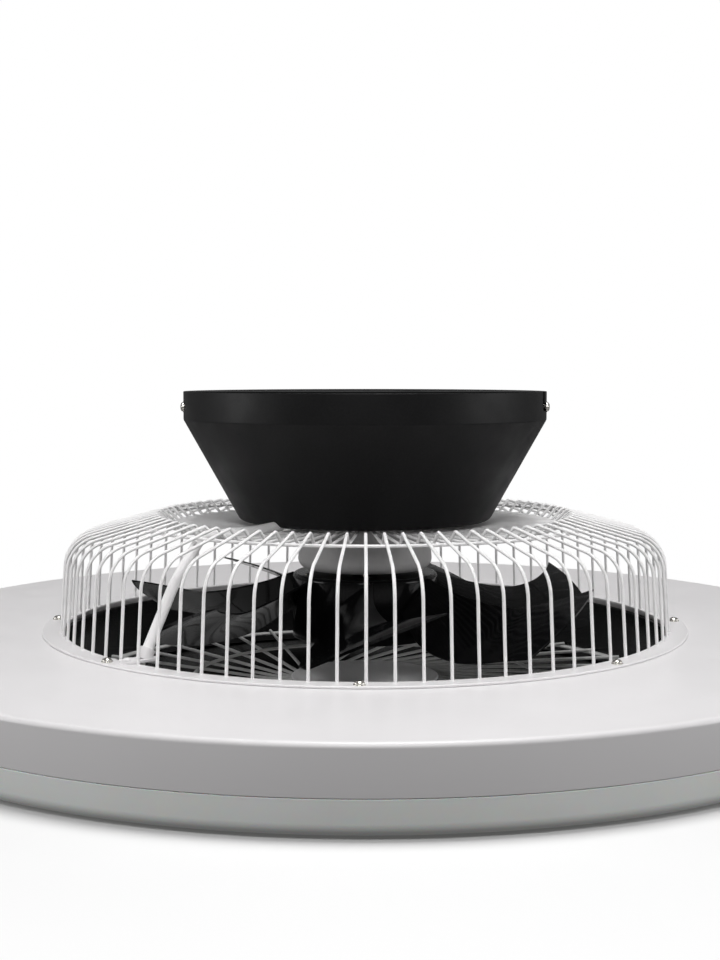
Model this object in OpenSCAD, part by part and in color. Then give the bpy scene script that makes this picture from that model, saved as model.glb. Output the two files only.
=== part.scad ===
// Flush ceiling fan with a wire cage, a hidden seven-blade rotor and a wide ring lamp.
// Millimetres. The origin is the centre of the face that meets the ceiling; +Z points
// up into the ceiling, so the fan hangs below z = 0. -Y is the front.

/* [Ring lamp] */
// Radius of the lamp ring at its outer edge
ring_r = 325; // [290:1:360]
// Radius of the round opening inside the lamp ring
opening_r = 202; // [196:0.5:204]
// Height of the lamp ring, housing and diffuser together
ring_h = 46; // [40:1:60]
// Height of the sheet-metal housing's outer wall
housing_h = 26; // [16:1:30]
// Thickness of the housing sheet
housing_t = 1.2; // [0.8:0.1:2]
// Depth of the turned-down white lip at the opening
lip_h = 4; // [2.5:0.5:6]
// Thickness of the diffuser
diffuser_t = 2; // [1.5:0.1:3]
// Distance from the ceiling down to the top of the lamp ring
ring_drop = 155; // [150:1:175]

/* [Duct and grille] */
// Thickness of the black duct liner
liner_t = 2; // [1.5:0.1:3]
// Radius of the grille's centre disc
disc_r = 49.5; // [40:0.5:60]
// Number of grille spokes
spoke_count = 40; // [24:1:48]
// Diameter of a grille spoke and of the wire ring on the spokes
spoke_d = 2.2; // [1.6:0.1:3]
// Radius of the circle that the skewed spokes are tangent to
spoke_skew_r = 35; // [0:1:40]
// Turn of the first spoke
spoke_turn = 3; // [0:0.5:9]
// Radius of the wire ring that lies on the spokes
grille_ring_r = 115.6; // [90:0.2:150]
// Height from the lamp ring's top down to the middle of the spokes
spoke_drop = 38.3; // [36:0.1:39]

/* [Wire cage] */
// Number of cage wires
wire_count = 80; // [40:4:88]
// Diameter of a cage wire
wire_d = 2; // [1.6:0.1:2.4]
// Radius at which the cage wires stand on the flange
cage_r = 200; // [199.8:0.1:201]
// Width of the flange that carries the wires
flange_w = 14; // [13.6:0.1:16]
// Thickness of that flange
flange_t = 1.2; // [0.8:0.1:2]
// How far the upright part of a wire leans inwards
wire_lean = 3.9; // [0:0.1:8]
// Height above the flange's seat of the bend between upright and slope
shoulder_z = 59; // [50:0.5:62]
// Radius of that bend
shoulder_bend = 22; // [10:1:30]
// Radius of the cage's crest
crest_r = 137; // [125:0.5:150]
// Height of the crest above the lamp ring
crest_z = 74.8; // [72:0.1:80]
// Radius where the dished floor of the cage begins
dish_r = 129; // [112:0.5:132]
// Radius of the inner ends of the wires
wire_inner_r = 46; // [45:0.5:58]
// Radius of the plate that the wires are welded under
plate_r = 62; // [60:0.5:78]
// Thickness of that plate
plate_t = 2; // [1.5:0.1:3]
// Radius of the wire ring under the sloping part of the cage
cage_ring_r = 151; // [148:0.5:160]

/* [Canopy] */
// Radius of the canopy at the ceiling
canopy_r = 120; // [116:0.5:130]
// Height of the canopy's upright band
band_h = 18.5; // [12:0.5:24]
// Radius at which the cone would meet the canopy's foot, were it not rounded
cone_r = 83; // [82:0.5:92]
// Whole height of the canopy
canopy_h = 85; // [85:0.5:95]
// Radius of the fillet at the canopy's foot
canopy_fillet = 5; // [2:0.5:8]
// Thickness of the canopy sheet
canopy_t = 1.2; // [0.8:0.1:2]
// Depth of the side screws below the ceiling
side_screw_z = 10; // [8:0.5:12]
// Turn of the two side screws from the front, left and right
side_screw_turn = 79; // [76:0.5:84]

/* [Ceiling bracket] */
// Width of the bracket strap
strap_w = 68; // [64:1:70]
// Thickness of the bracket strap
strap_t = 2; // [1.5:0.1:3]
// Distance between the two ceiling-screw slots
slot_pitch = 124; // [100:1:150]
// Length of a ceiling-screw slot, end to end
slot_len = 14; // [8:1:20]
// Width of a ceiling-screw slot
slot_w = 5.5; // [4:0.1:7]
// Diameter of the hole for the house cable
cable_hole_d = 22; // [14:1:26]

/* [Motor] */
// Radius of the motor housing at its top
motor_top_r = 43; // [42:0.1:43.6]
// Largest radius of the motor housing
motor_r = 44.7; // [44.4:0.1:46]
// Height of the motor housing below its seat
motor_h = 29; // [28.6:0.1:31]
// Radius of the motor shaft
shaft_r = 4; // [3.5:0.1:4.5]
// Outer radius of the ball bearings
bearing_r = 11; // [10.6:0.1:12]
// Width of the ball bearings
bearing_w = 7; // [6.5:0.1:7.2]
// Outer radius of the stator stack
stator_r = 36.4; // [36:0.1:36.6]
// Number of stator teeth and coils
tooth_count = 12; // [9:3:15]
// Number of rotor magnets
magnet_count = 10; // [8:2:14]

/* [Rotor] */
// Number of blades
blade_count = 7; // [5:1:8]
// Outer radius of the hub
hub_r = 48.5; // [46:0.5:50]
// Height of the hub
hub_h = 42.5; // [42.5:0.5:48]
// Radius at the pointed blade tips
blade_tip_r = 155; // [130:1:180]
// Thickness of a blade at its middle
blade_t = 2.4; // [1.8:0.1:3.2]
// Turn of the rotor at rest, seen from above
rotor_turn = 120.7; // [0:0.1:360]

/* [Wiring conduit] */
// Outer radius of the conduit
conduit_r = 3.3; // [2.9:0.1:3.4]
// Wall of the conduit
conduit_t = 0.9; // [0.6:0.1:1.2]
// Which gap between cage wires holds the conduit, counted from the front
conduit_gap = -10; // [-12:1:-8]

/* [Fasteners] */
// Radius of the flange screws' heads
flange_head_r = 2.9; // [2.5:0.1:2.9]
// Radius of the circle of flange screws
flange_screw_r = 207; // [206.4:0.1:207]
// Number of flange screws
flange_screw_count = 8; // [4:4:8]
// Turn of the flange screws from the front
flange_screw_turn = -1; // [-1.5:0.1:1.5]

/* [Hidden] */
$fn = 48;

gap = 0.3;                                // clearance between pieces that only stand near
fit_gap = 0.1;                            // clearance of a screw or pin in its hole
bend_lap = 0.2;                           // how far a rod's straight laps into its bend
arc_steps = 6;
bend_swell = 1.02;                        // girth of a bend, as a share of the straight's
ring_z = -ring_drop;                      // top face of the lamp ring
canopy_z = -canopy_h;                     // underside of the canopy
plate_z = canopy_z - plate_t;             // underside of the cage plate
wire_r = wire_d / 2;
floor_z = plate_z - wire_r;               // middle of the wires in the dished floor
flange_in_r = cage_r - wire_r - 0.6;
flange_bead_r = 0.8;                      // rolled outer edge of the flange
flange_out_r = flange_in_r + flange_w;
wire_top_r = cage_r - wire_lean;
slope_angle = atan2(crest_z - shoulder_z, wire_top_r - crest_r);
crest_bend = 2.5;
dish_bend = 3;

// ---- canopy and what it holds
canopy_hole_r = 22;                       // hole in the canopy floor for the leads
canopy_floor_z = canopy_z + canopy_t;
motor_bolt_r = 28;                        // circle of the four motor screws
motor_bolt_hole = 2.25;
motor_bolt_core = 2;
box_gap = 24.5;                           // half the free width between the two boxes
driver_size = [90, 30, 26];
controller_size = [84, 28, 20];
controller_shift = 4;                     // the controller stands further from the middle
box_ear = 4;                              // ear hole's distance from a box's end
box_foot = 6;                             // height of a box's plain foot
side_slot_w = 5;
side_entry_w = 8;                         // width of the bayonet slot's way in
side_slot_turn = 6;                       // turn from the way in to the screw's seat
side_slot_depth = 4 * canopy_t;
canopy_lean = atan2(canopy_r - cone_r, canopy_h - band_h);
side_screw_core = 2;
side_head_r = 2.9;
side_head_h = 1.6;
tab_h = 18;                               // height of the bracket's down-turned ends
tab_r = canopy_r - canopy_t - gap;        // radius of their outer faces

// ---- motor
pad_r = 34;                               // raised pad on the motor, under the plate
motor_seat_z = plate_z;                   // top of the pad
motor_top_z = motor_seat_z - wire_d - gap;
motor_low_z = motor_seat_z - motor_h - wire_d;
motor_roof_t = 2.5;
motor_edge_r = 7;                         // rounding of the lower edge
motor_top_edge_r = 1.5;
lead_at = 17;                             // distance of the motor leads from the axis
lead_r = 1.6;
lead_rise = 14;                           // height of the leads above the canopy's floor
lead_reach = 9;                           // how far the leads run on towards the controller
motor_bore_r = stator_r;
roof_z = motor_top_z - motor_roof_t;
boss_r = bearing_r + 3;
end_plate_t = 2.5;
end_screw_r = stator_r + 1.8;
end_screw_core = 1.25;
end_head_r = 1.9;
end_plate_r = end_screw_r + 2;
end_plate_top_z = motor_low_z + 0.6 + end_plate_t;
upper_bearing_z = roof_z - bearing_w;     // lower face of the upper bearing
lower_bearing_z = end_plate_top_z;        // lower face of the lower bearing
stack_h = 12;
stack_mid_z = (roof_z + end_plate_top_z) / 2;
stator_bore_r = 26.2;
yoke_t = 3.4;
tooth_w = 6;
shoe_t = 2;
shoe_arc = 22;                            // turn that a tooth's shoe covers
magnet_r = stator_bore_r - 0.7;
magnet_t = 2.5;
core_r = magnet_r - magnet_t;
coil_t = 2.2;

// ---- bearings: seven balls on the circle half way between shaft and seat
ball_count = 7;
ball_r = 1.984;
ball_circle_r = (shaft_r + bearing_r) / 2;
groove_r = ball_r + 0.05;
race_in_r = ball_circle_r - 1.45;
race_out_r = ball_circle_r + 1.45;

// ---- hub and blades
hub_top_z = motor_low_z - 2.5;
hub_low_z = hub_top_z - hub_h;
hub_wall = 2.5;
hub_roof_t = 3;
hub_boss_r = 10;
hub_boss_h = 34;
hub_bore_r = shaft_r + 0.05;
pin_r = 1.5;
pin_len = 17;
pin_z = hub_top_z + 1.2;
nut_h = 8;
nut_r = 9;
shaft_top_z = roof_z - 0.5;
shaft_low_z = hub_top_z - hub_boss_h - nut_h - 2;
blade_root_r = hub_r + 0.05;
// Stations along a blade, as shares of the way from hub to tip
blade_at = [0, 0.25, 0.55, 0.72, 0.88, 1];
// Leading edge at each station: turn ahead of the tip's line, and height above the ring's top
lead_turn = [-12, -13.5, -11, -9.5, -5, 0];
lead_high = [33, 24, 18.5, 21, 26, 30];
// Trailing edge at each station
trail_turn = [-42, -43, -39.5, -36, -33, -30.5];
trail_high = [14, -3, -9, -7.5, -4, -2];
hub_rib_turn = -90 + (lead_turn[0] + trail_turn[0]) / 2 + 180 / blade_count;
blade_rows = 14;                          // steps along a blade
blade_cols = 8;                           // steps from leading to trailing edge
blade_camber = 0.02;                      // hollow of the blade, as a share of its chord
edge_share = 0.45;                        // thickness at the edges, as a share of the middle
blade_screw_core = 1.25;
blade_screw_at = [0.36, 0.64];            // places of a blade's two screws along its root

// ---- duct, grille and lamp
liner_r = opening_r - liner_t;            // inner face of the duct liner
liner_top_z = ring_z - lip_h;
ring_low_z = ring_z - ring_h;
liner_flange_t = 1.2;
liner_flange_w = 10;
spoke_r = spoke_d / 2;
spoke_z = ring_z - spoke_drop;
rim_t = 1.5;                              // grille's flat outer ring
rim_z = spoke_z - spoke_r - rim_t;        // its underside
rim_w = 6;
ledge_t = 1.5;
ledge_w = 8;
disc_t = 1.6;
disc_z = spoke_z + spoke_r;               // underside of the centre disc
grille_screw_r = liner_r - gap - rim_w / 2 - 0.3;
grille_screw_count = 4;
grille_screw_core = 1.25;
diffuser_low_z = ring_low_z + liner_flange_t;
diffuser_corner = 7;
board_in_r = 238;
board_out_r = 300;
board_t = 1.6;
board_count = 8;
chip_rows = [252, 269, 286];
chips_in_row = 32;
chip_size = [3.5, 2.8, 0.8];
flange_core_r = 1.5;
flange_screw_len = 8.4;
conduit_screw_r = cage_r + 1.6;           // distance of the conduit foot's screw
conduit_head_r = 2.6;
conduit_head_h = 1.8;
flange_head_h = 2;
washer_t = 0.6;
nut_t = 2.4;

// ---- conduit, in the upright plane of its gap between the wires
wire_pitch = 360 / wire_count;
conduit_az = (conduit_gap + 0.5) * wire_pitch - 90;
conduit_inset = 10.5;                     // how far inside the wires' feet the conduit stands
conduit_lean = 24;                        // and how far it leans in up to its long bend
conduit_floor_z = floor_z + 2.5;
conduit_end = [cone_r - 5, floor_z + 3.9];
conduit_foot_p = [cage_r - conduit_inset, 1.6 + ring_z];
conduit_path = [conduit_foot_p, [conduit_foot_p.x - conduit_lean, shoulder_z - 15 + ring_z],
    [cage_ring_r - 6.5, conduit_floor_z], [cone_r + 17, conduit_floor_z], conduit_end];
conduit_bends = [0, 60, 12, 12, 0];
cable_r = 1.4;
cable_tail = 4;                           // how far the cable runs on before it turns up
cable_rise = [-8, 8];                     // and from there to its end
conduit_hole_run = [14, 10];              // reach of the canopy's hole each way
cable_drop_z = ring_z - 9;                // level at which the cable goes through the liner
cable_turn = conduit_end + cable_tail * unit(conduit_end - conduit_path[3]);
cable_path = concat([cable_turn + cable_rise, cable_turn],
    [for (i = [3 : -1 : 0]) conduit_path[i]],
    [[conduit_foot_p.x + 2, cable_drop_z], [board_in_r + 4, cable_drop_z]]);
cable_bends = [0, 4, 12, 12, 60, 5, 5, 0];
foot_t = 1.5;
foot_w = 11;
foot_in_r = conduit_foot_p.x - 8;         // inner end of the foot's tab
foot_out_r = conduit_screw_r + 3.2;
foot_sleeve_h = 7;

// ---- helpers
function unit(v) = v / norm(v);
function turn_of(a, b) = (a.x * b.y - a.y * b.x);
// Distance from a bend's corner to where its arc starts
function setback(p, i, radius) = i == 0 || i == len(p) - 1 ? 0 :
    let (a = unit(p[i] - p[i - 1]), b = unit(p[i + 1] - p[i]))
    radius * tan(acos(min(1, max(-1, a * b))) / 2);
// Points of an arc round c
function arc(c, r, from, to) = [for (i = [0 : arc_steps])
    let (a = from + (to - from) * i / arc_steps) c + r * [cos(a), sin(a)]];
// Smooth value at share t along a list of stations
function station(at, t, i = 0) = i >= len(at) - 2 || t <= at[i + 1] ? i : station(at, t, i + 1);
function smooth(at, v, t) =
    let (i = station(at, t), h = at[i + 1] - at[i], s = (t - at[i]) / h,
        m0 = i == 0 ? (v[1] - v[0]) / h : (v[i + 1] - v[i - 1]) / (at[i + 1] - at[i - 1]),
        m1 = i == len(at) - 2 ? (v[i + 1] - v[i]) / h :
            (v[i + 2] - v[i]) / (at[i + 2] - at[i]))
    (1 + 2 * s) * pow(1 - s, 2) * v[i] + s * pow(1 - s, 2) * h * m0
    + pow(s, 2) * (3 - 2 * s) * v[i + 1] + pow(s, 2) * (s - 1) * h * m1;

// A round rod bent in the XZ plane through corner points, with a radius at each corner.
// Its bends are a little swollen, as drawn wire is, and the straights lap into them
module bent_rod(p, bends, r) {
    for (i = [0 : len(p) - 2]) {
        d = unit(p[i + 1] - p[i]);
        last = i == len(p) - 2;
        a = p[i] + d * (setback(p, i, bends[i]) - (i == 0 ? 0 : bend_lap));
        b = p[i + 1] - d * (setback(p, i + 1, bends[i + 1]) - (last ? 0 : bend_lap));
        translate([a.x, 0, a.y])
            rotate([0, atan2(d.x, d.y), 0]) cylinder(h = norm(b - a), r = r);
        if (i > 0) rod_bend(p[i - 1], p[i], p[i + 1], bends[i], r);
    }
}

module rod_bend(before, corner, after, radius, r) {
    d0 = unit(corner - before);
    d1 = unit(after - corner);
    left = turn_of(d0, d1) > 0;
    n0 = left ? [-d0.y, d0.x] : [d0.y, -d0.x];
    n1 = left ? [-d1.y, d1.x] : [d1.y, -d1.x];
    sweep = acos(min(1, max(-1, d0 * d1)));
    start = corner - d0 * radius * tan(sweep / 2);
    centre = start + n0 * radius;
    from = left ? atan2(-n0.y, -n0.x) : atan2(-n1.y, -n1.x);
    translate([centre.x, 0, centre.y]) rotate([90, 0, 0]) rotate([0, 0, from])
        rotate_extrude(angle = sweep) translate([radius, 0]) circle(r = r * bend_swell);
}

module ring(r_in, r_out, z, h) {
    translate([0, 0, z]) difference() {
        cylinder(h = h, r = r_out, $fn = 144);
        translate([0, 0, -1]) cylinder(h = h + 2, r = r_in, $fn = 144);
    }
}

module wire_loop(radius, z, r) {
    translate([0, 0, z]) rotate_extrude($fn = 144) translate([radius, 0]) circle(r = r, $fn = 24);
}

module around(count, turn = 0) {
    for (i = [0 : count - 1]) rotate([0, 0, turn + i * 360 / count]) children();
}

// A pan-head screw with its head above z = 0 and its core below
module screw(head_r, head_h, core_r, length) {
    translate([0, 0, head_h - head_r * 0.25]) difference() {
        scale_dome(head_r, head_r * 0.25);
        cross_slot(head_r);
    }
    cylinder(h = head_h - head_r * 0.25, r = head_r);
    translate([0, 0, -length]) cylinder(h = length, r = core_r);
}

// A pan-head screw with a washer under its head
module washer_screw(head_r, head_h, core_r, length) {
    cylinder(h = washer_t, r = head_r + washer_t);
    translate([0, 0, washer_t]) screw(head_r, head_h, core_r, length + washer_t);
}

// The low dome on top of a screw head, as part of a sphere
module scale_dome(r, h) {
    ball = (r * r + h * h) / (2 * h);
    intersection() {
        translate([0, 0, h - ball]) sphere(r = ball, $fn = 64);
        cylinder(h = h + 1, r = r);
    }
}

module cross_slot(r) {
    for (a = [0, 90]) rotate([0, 0, a]) translate([-r * 0.6, -r * 0.11, -r * 0.05])
        cube([r * 1.2, r * 0.22, r]);
}

// ---- ceiling bracket
module ceiling_bracket() {
    color("silver") difference() {
        intersection() {
            union() {
                translate([0, 0, -strap_t]) cylinder(h = strap_t, r = tab_r, $fn = 144);
                ring(tab_r - strap_t, tab_r, -tab_h, tab_h);
            }
            translate([-canopy_r, -strap_w / 2, -tab_h]) cube([2 * canopy_r, strap_w, tab_h]);
        }
        for (s = [-1, 1]) translate([s * slot_pitch / 2, 0, -strap_t - 1]) ceiling_slot();
        translate([slot_pitch / 4, 0, -strap_t - 1]) cylinder(h = strap_t + 2, d = cable_hole_d);
        at_side_screws() translate([-tab_r / 2, 0, 0]) rotate([0, 90, 0])
            cylinder(h = tab_r, r = side_screw_core);
    }
}

// Places children on the canopy's wall at its two side screws, with +X pointing out
module at_side_screws() {
    for (s = [-1, 1]) rotate([0, 0, s * side_screw_turn - 90])
        translate([canopy_r, 0, -side_screw_z]) children();
}

module ceiling_slot() {
    length = slot_len - slot_w;
    for (s = [-1, 1]) translate([s * length / 2, 0, 0]) cylinder(h = strap_t + 2, d = slot_w);
    translate([-length / 2, -slot_w / 2, 0]) cube([length, slot_w, strap_t + 2]);
}

module terminal_block() {
    block = [34, 18, 14];
    color("ivory") translate([-slot_pitch / 4, 0, -strap_t - block.z / 2]) difference() {
        cube(block, center = true);
        for (i = [-1, 0, 1]) {
            translate([i * 10, -block.y / 2 - 1, 0]) rotate([-90, 0, 0])
                cylinder(h = block.y + 2, r = 2);
            translate([i * 10, 4, -block.z / 2 - 1]) cylinder(h = 5, r = 1.6);
        }
    }
}

// ---- canopy
module canopy() {
    color("dimgray") difference() {
        rotate_extrude($fn = 144) difference() {
            canopy_outline(0);
            canopy_outline(canopy_t);
        }
        translate([0, 0, canopy_z - 1]) cylinder(h = canopy_t + 2, r = canopy_hole_r);
        around(4, 45) translate([motor_bolt_r, 0, canopy_z - 1])
            cylinder(h = canopy_t + 2, r = motor_bolt_hole);
        for (s = [-1, 1]) rotate([0, 0, s * side_screw_turn - 90]) bayonet_slot();
        rotate([0, 0, conduit_az]) conduit_hole();
    }
}

// Half section of the canopy, drawn in by its wall
module canopy_outline(inset) {
    top = inset > 0 ? 1 : 0;
    foot = cone_r - canopy_fillet / tan(45 + canopy_lean / 2);
    polygon(concat([[0, top], [canopy_r - inset, top],
        [canopy_r - inset, -band_h + inset * tan(canopy_lean / 2)]],
        arc([foot, canopy_z + canopy_fillet], canopy_fillet - inset, -canopy_lean, -90),
        [[0, canopy_z + inset]]));
}

// An upright way in from the rim, and a level way round to the screw's seat
module bayonet_slot() {
    in_r = canopy_r - side_slot_depth / 2;
    for (a = [0, -side_slot_turn]) rotate([0, 0, a])
        translate([in_r, 0, -side_screw_z]) rotate([0, 90, 0])
            cylinder(h = side_slot_depth, d = side_slot_w);
    rotate([0, 0, -side_slot_turn])
        translate([in_r, -side_entry_w / 2, -side_screw_z])
            cube([side_slot_depth, side_entry_w, side_screw_z + 1]);
    rotate([0, 0, -side_slot_turn]) rotate_extrude(angle = side_slot_turn, $fn = 144)
        translate([in_r, -side_screw_z - side_slot_w / 2])
            square([side_slot_depth, side_slot_w]);
}

// Clear hole for the conduit, along its last straight
module conduit_hole() {
    d = unit(conduit_end - conduit_path[3]);
    translate([conduit_end.x, 0, conduit_end.y]) rotate([0, atan2(d.x, d.y), 0])
        translate([0, 0, -conduit_hole_run[0]])
            cylinder(h = conduit_hole_run[0] + conduit_hole_run[1], r = conduit_r + gap);
}

module canopy_side_screws() {
    color("gainsboro") at_side_screws() rotate([0, 90, 0])
        washer_screw(side_head_r, side_head_h, side_screw_core - fit_gap, canopy_t + gap + 6);
}

module led_driver() {
    color("whitesmoke") service_box(driver_size, box_gap + driver_size.y / 2);
}

module fan_controller() {
    color("lightgray")
        service_box(controller_size, -box_gap - controller_size.y / 2 - controller_shift);
}

// A box with ears and ribbed ends that stands on the canopy's floor
module service_box(size, y) {
    rib = 4;
    translate([0, y, canopy_floor_z]) difference() {
        translate([-size.x / 2, -size.y / 2, 0]) cube(size);
        for (s = [-1, 1]) translate([s * (size.x / 2 - box_ear), 0, -1])
            cylinder(h = size.z + 2, r = 1.8);
        for (s = [-1, 1], k = [-1, 1])
            translate([s * size.x / 2 - rib, k * size.y / 4 - rib / 2, box_foot])
                cube([2 * rib, rib, size.z]);
    }
}

module motor_screws() {
    color("gainsboro") around(4, 45) translate([motor_bolt_r, 0, canopy_floor_z])
        screw(3.5, 2.4, motor_bolt_core, canopy_t + plate_t + 3.5);
}

// ---- wire cage
module cage_plate() {
    color("white") difference() {
        translate([0, 0, plate_z]) cylinder(h = plate_t, r = plate_r, $fn = 96);
        translate([0, 0, plate_z - 1]) cylinder(h = plate_t + 2, r = canopy_hole_r);
        around(4, 45) translate([motor_bolt_r, 0, plate_z - 1])
            cylinder(h = plate_t + 2, r = motor_bolt_hole);
    }
}

module cage_wires() {
    foot = [cage_r, ring_z + flange_t];
    shoulder = [wire_top_r, ring_z + shoulder_z];
    crest = [crest_r, ring_z + crest_z];
    dish = [dish_r, floor_z];
    inner = [wire_inner_r, floor_z];
    color("white") around(wire_count, -90)
        bent_rod([foot, shoulder, crest, dish, inner],
            [0, shoulder_bend, crest_bend, dish_bend, 0], wire_r, $fn = 16);
}

// The wire ring touches the sloping wires from below
module cage_ring() {
    slope_z = ring_z + shoulder_z + (wire_top_r - cage_ring_r) * tan(slope_angle);
    color("white") wire_loop(cage_ring_r, slope_z - wire_d / cos(slope_angle) - 0.02, wire_r);
}

module cage_flange() {
    color("white") difference() {
        union() {
            ring(flange_in_r, flange_out_r - flange_bead_r, ring_z, flange_t);
            wire_loop(flange_out_r - flange_bead_r, ring_z + flange_bead_r, flange_bead_r);
        }
        around(flange_screw_count, flange_screw_turn - 90)
            translate([flange_screw_r, 0, ring_z - 1])
                cylinder(h = flange_t + 2, r = flange_core_r + fit_gap);
        rotate([0, 0, conduit_az]) translate([conduit_screw_r, 0, ring_z - 1])
            cylinder(h = flange_t + 2, r = flange_core_r + 0.02);
    }
}

module flange_screws() {
    color("gainsboro") around(flange_screw_count, flange_screw_turn - 90)
        translate([flange_screw_r, 0, ring_z + flange_t])
            washer_screw(flange_head_r, flange_head_h, flange_core_r, flange_screw_len);
}

module flange_nuts() {
    nut_z = liner_top_z - liner_flange_t - nut_t;
    color("gainsboro") around(flange_screw_count, flange_screw_turn - 90)
        translate([flange_screw_r, 0, nut_z]) difference() {
            cylinder(h = nut_t, r = 3.1, $fn = 6);
            translate([0, 0, -1]) cylinder(h = nut_t + 2, r = flange_core_r + 0.02);
        }
}

// ---- lamp ring
module ring_housing() {
    wall_z = ring_z - housing_h;
    edge = 3;
    corner = [ring_r - edge, ring_z - edge];
    color("white") difference() {
        rotate_extrude($fn = 180) polygon(concat(
            [[opening_r, ring_z], [opening_r, ring_z - lip_h],
            [opening_r + housing_t, ring_z - lip_h],
            [opening_r + housing_t, ring_z - housing_t]],
            arc(corner, edge - housing_t, 90, 0),
            [[ring_r - housing_t, wall_z], [ring_r, wall_z]],
            arc(corner, edge, 0, 90)));
        around(flange_screw_count, flange_screw_turn - 90)
            translate([flange_screw_r, 0, ring_z - 3])
                cylinder(h = 6, r = flange_core_r + fit_gap);
    }
}

module led_boards() {
    arc = 360 / board_count - 2;
    color("honeydew") around(board_count)
        translate([0, 0, ring_z - housing_t - board_t]) rotate_extrude(angle = arc, $fn = 144)
            translate([board_in_r, 0]) square([board_out_r - board_in_r, board_t]);
}

module led_chips() {
    z = ring_z - housing_t - board_t - chip_size.z;
    color("khaki") for (r = chip_rows) around(chips_in_row, 360 / chips_in_row / 4)
        translate([r - chip_size.x / 2, -chip_size.y / 2, z]) cube(chip_size);
}

// An opal tray with rounded outer corner; its rim snaps inside the housing's wall
module diffuser() {
    top_z = ring_z - housing_h - gap;
    out_r = ring_r - 0.2;
    rim_out = ring_r - housing_t - gap;
    rim_in = rim_out - 1.5;
    rim_h = 4;
    in_r = opening_r + gap;
    corner = [out_r - diffuser_corner, diffuser_low_z + diffuser_corner];
    color("snow") rotate_extrude($fn = 180) polygon(concat([[in_r, diffuser_low_z]],
        arc(corner, diffuser_corner, -90, 0),
        [[out_r, top_z], [rim_out, top_z], [rim_out, top_z + rim_h], [rim_in, top_z + rim_h]],
        arc(corner, diffuser_corner - diffuser_t, 0, -90),
        [[in_r, diffuser_low_z + diffuser_t]]));
}

// ---- duct liner and bottom grille
module duct_liner() {
    top_z = liner_top_z;
    low_z = ring_low_z;
    t = liner_flange_t;
    color("black") difference() {
        union() {
            ring(liner_r, opening_r, low_z, top_z - low_z);
            ring(liner_r, opening_r + liner_flange_w, top_z - t, t);
            ring(liner_r, opening_r + 6, low_z, t);
            ring(liner_r - ledge_w + 0.5, liner_r + 0.5, rim_z - ledge_t, ledge_t);
        }
        around(flange_screw_count, flange_screw_turn - 90)
            translate([flange_screw_r, 0, top_z - 4]) cylinder(h = 6, r = flange_core_r + fit_gap);
        rotate([0, 0, conduit_az]) translate([liner_r - 1, 0, ring_z - 9]) rotate([0, 90, 0])
            cylinder(h = 5, r = cable_r + gap);
        around(grille_screw_count, 45) translate([grille_screw_r, 0, rim_z - ledge_t - 1])
            cylinder(h = ledge_t + 2, r = grille_screw_core + fit_gap);
    }
}

module grille_outer_ring() {
    color("gray") difference() {
        ring(liner_r - gap - rim_w, liner_r - gap, rim_z, rim_t);
        around(grille_screw_count, 45) translate([grille_screw_r, 0, rim_z - 1])
            cylinder(h = rim_t + 2, r = grille_screw_core + 0.02);
    }
}

module grille_screws() {
    color("gainsboro") around(grille_screw_count, 45)
        translate([grille_screw_r, 0, rim_z - ledge_t]) rotate([180, 0, 0])
            screw(2.6, 1.6, grille_screw_core, ledge_t + rim_t);
}

// Each spoke runs from under the disc to the outer ring, tangent to a small circle
module grille_spokes() {
    in_r = disc_r - 6;
    out_r = liner_r - gap - 1;
    from = sqrt(in_r * in_r - spoke_skew_r * spoke_skew_r);
    to = sqrt(out_r * out_r - spoke_skew_r * spoke_skew_r);
    color("silver") around(spoke_count, spoke_turn)
        translate([from, spoke_skew_r, spoke_z]) rotate([0, 90, 0])
            cylinder(h = to - from, r = spoke_r, $fn = 16);
}

module grille_ring() {
    color("silver") wire_loop(grille_ring_r, spoke_z + spoke_d + 0.02, spoke_r);
}

module grille_disc() {
    crown = 1.4;
    color("silver") translate([0, 0, disc_z]) rotate_extrude($fn = 96) polygon(concat(
        [[0, 0], [disc_r - disc_t / 2, 0]],
        [for (a = [-60 : 30 : 90]) [disc_r - disc_t / 2 + disc_t / 2 * cos(a),
            disc_t / 2 + disc_t / 2 * sin(a)]],
        [for (i = [5 : -1 : 0]) [disc_r * 0.95 * i / 6, disc_t + crown * (1 - pow(i / 6, 2))]]));
}

// ---- conduit
module wiring_conduit() {
    color("white") rotate([0, 0, conduit_az]) difference() {
        bent_rod(conduit_path, conduit_bends, conduit_r);
        bent_rod(long_path(), conduit_bends, conduit_r - conduit_t);
    }
}

// The conduit's path with its two ends drawn out, for the bore
function long_path() = let (n = len(conduit_path) - 1) [for (i = [0 : n])
    i == 0 ? conduit_path[0] + unit(conduit_path[0] - conduit_path[1])
    : i == n ? conduit_path[n] + unit(conduit_path[n] - conduit_path[n - 1])
    : conduit_path[i]];

module conduit_foot() {
    d = unit(conduit_path[1] - conduit_path[0]);
    base_z = ring_z + flange_t;
    color("white") rotate([0, 0, conduit_az]) difference() {
        union() {
            translate([foot_in_r, -foot_w / 2, base_z])
                cube([foot_out_r - foot_in_r, foot_w, foot_t]);
            translate([conduit_foot_p.x, 0, conduit_foot_p.y]) rotate([0, atan2(d.x, d.y), 0])
                cylinder(h = foot_sleeve_h, r = conduit_r + 1.3);
        }
        translate([conduit_foot_p.x, 0, conduit_foot_p.y]) rotate([0, atan2(d.x, d.y), 0])
            translate([0, 0, -8]) cylinder(h = foot_sleeve_h + 10, r = conduit_r + fit_gap);
        translate([conduit_screw_r, 0, base_z - 1])
            cylinder(h = 4, r = flange_core_r + fit_gap);
    }
}

// It is screwed into the flange alone and ends just above the lamp ring
module conduit_screw() {
    color("white") rotate([0, 0, conduit_az])
        translate([conduit_screw_r, 0, ring_z + flange_t + foot_t])
            screw(conduit_head_r, conduit_head_h, flange_core_r, foot_t + flange_t - fit_gap);
}

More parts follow.
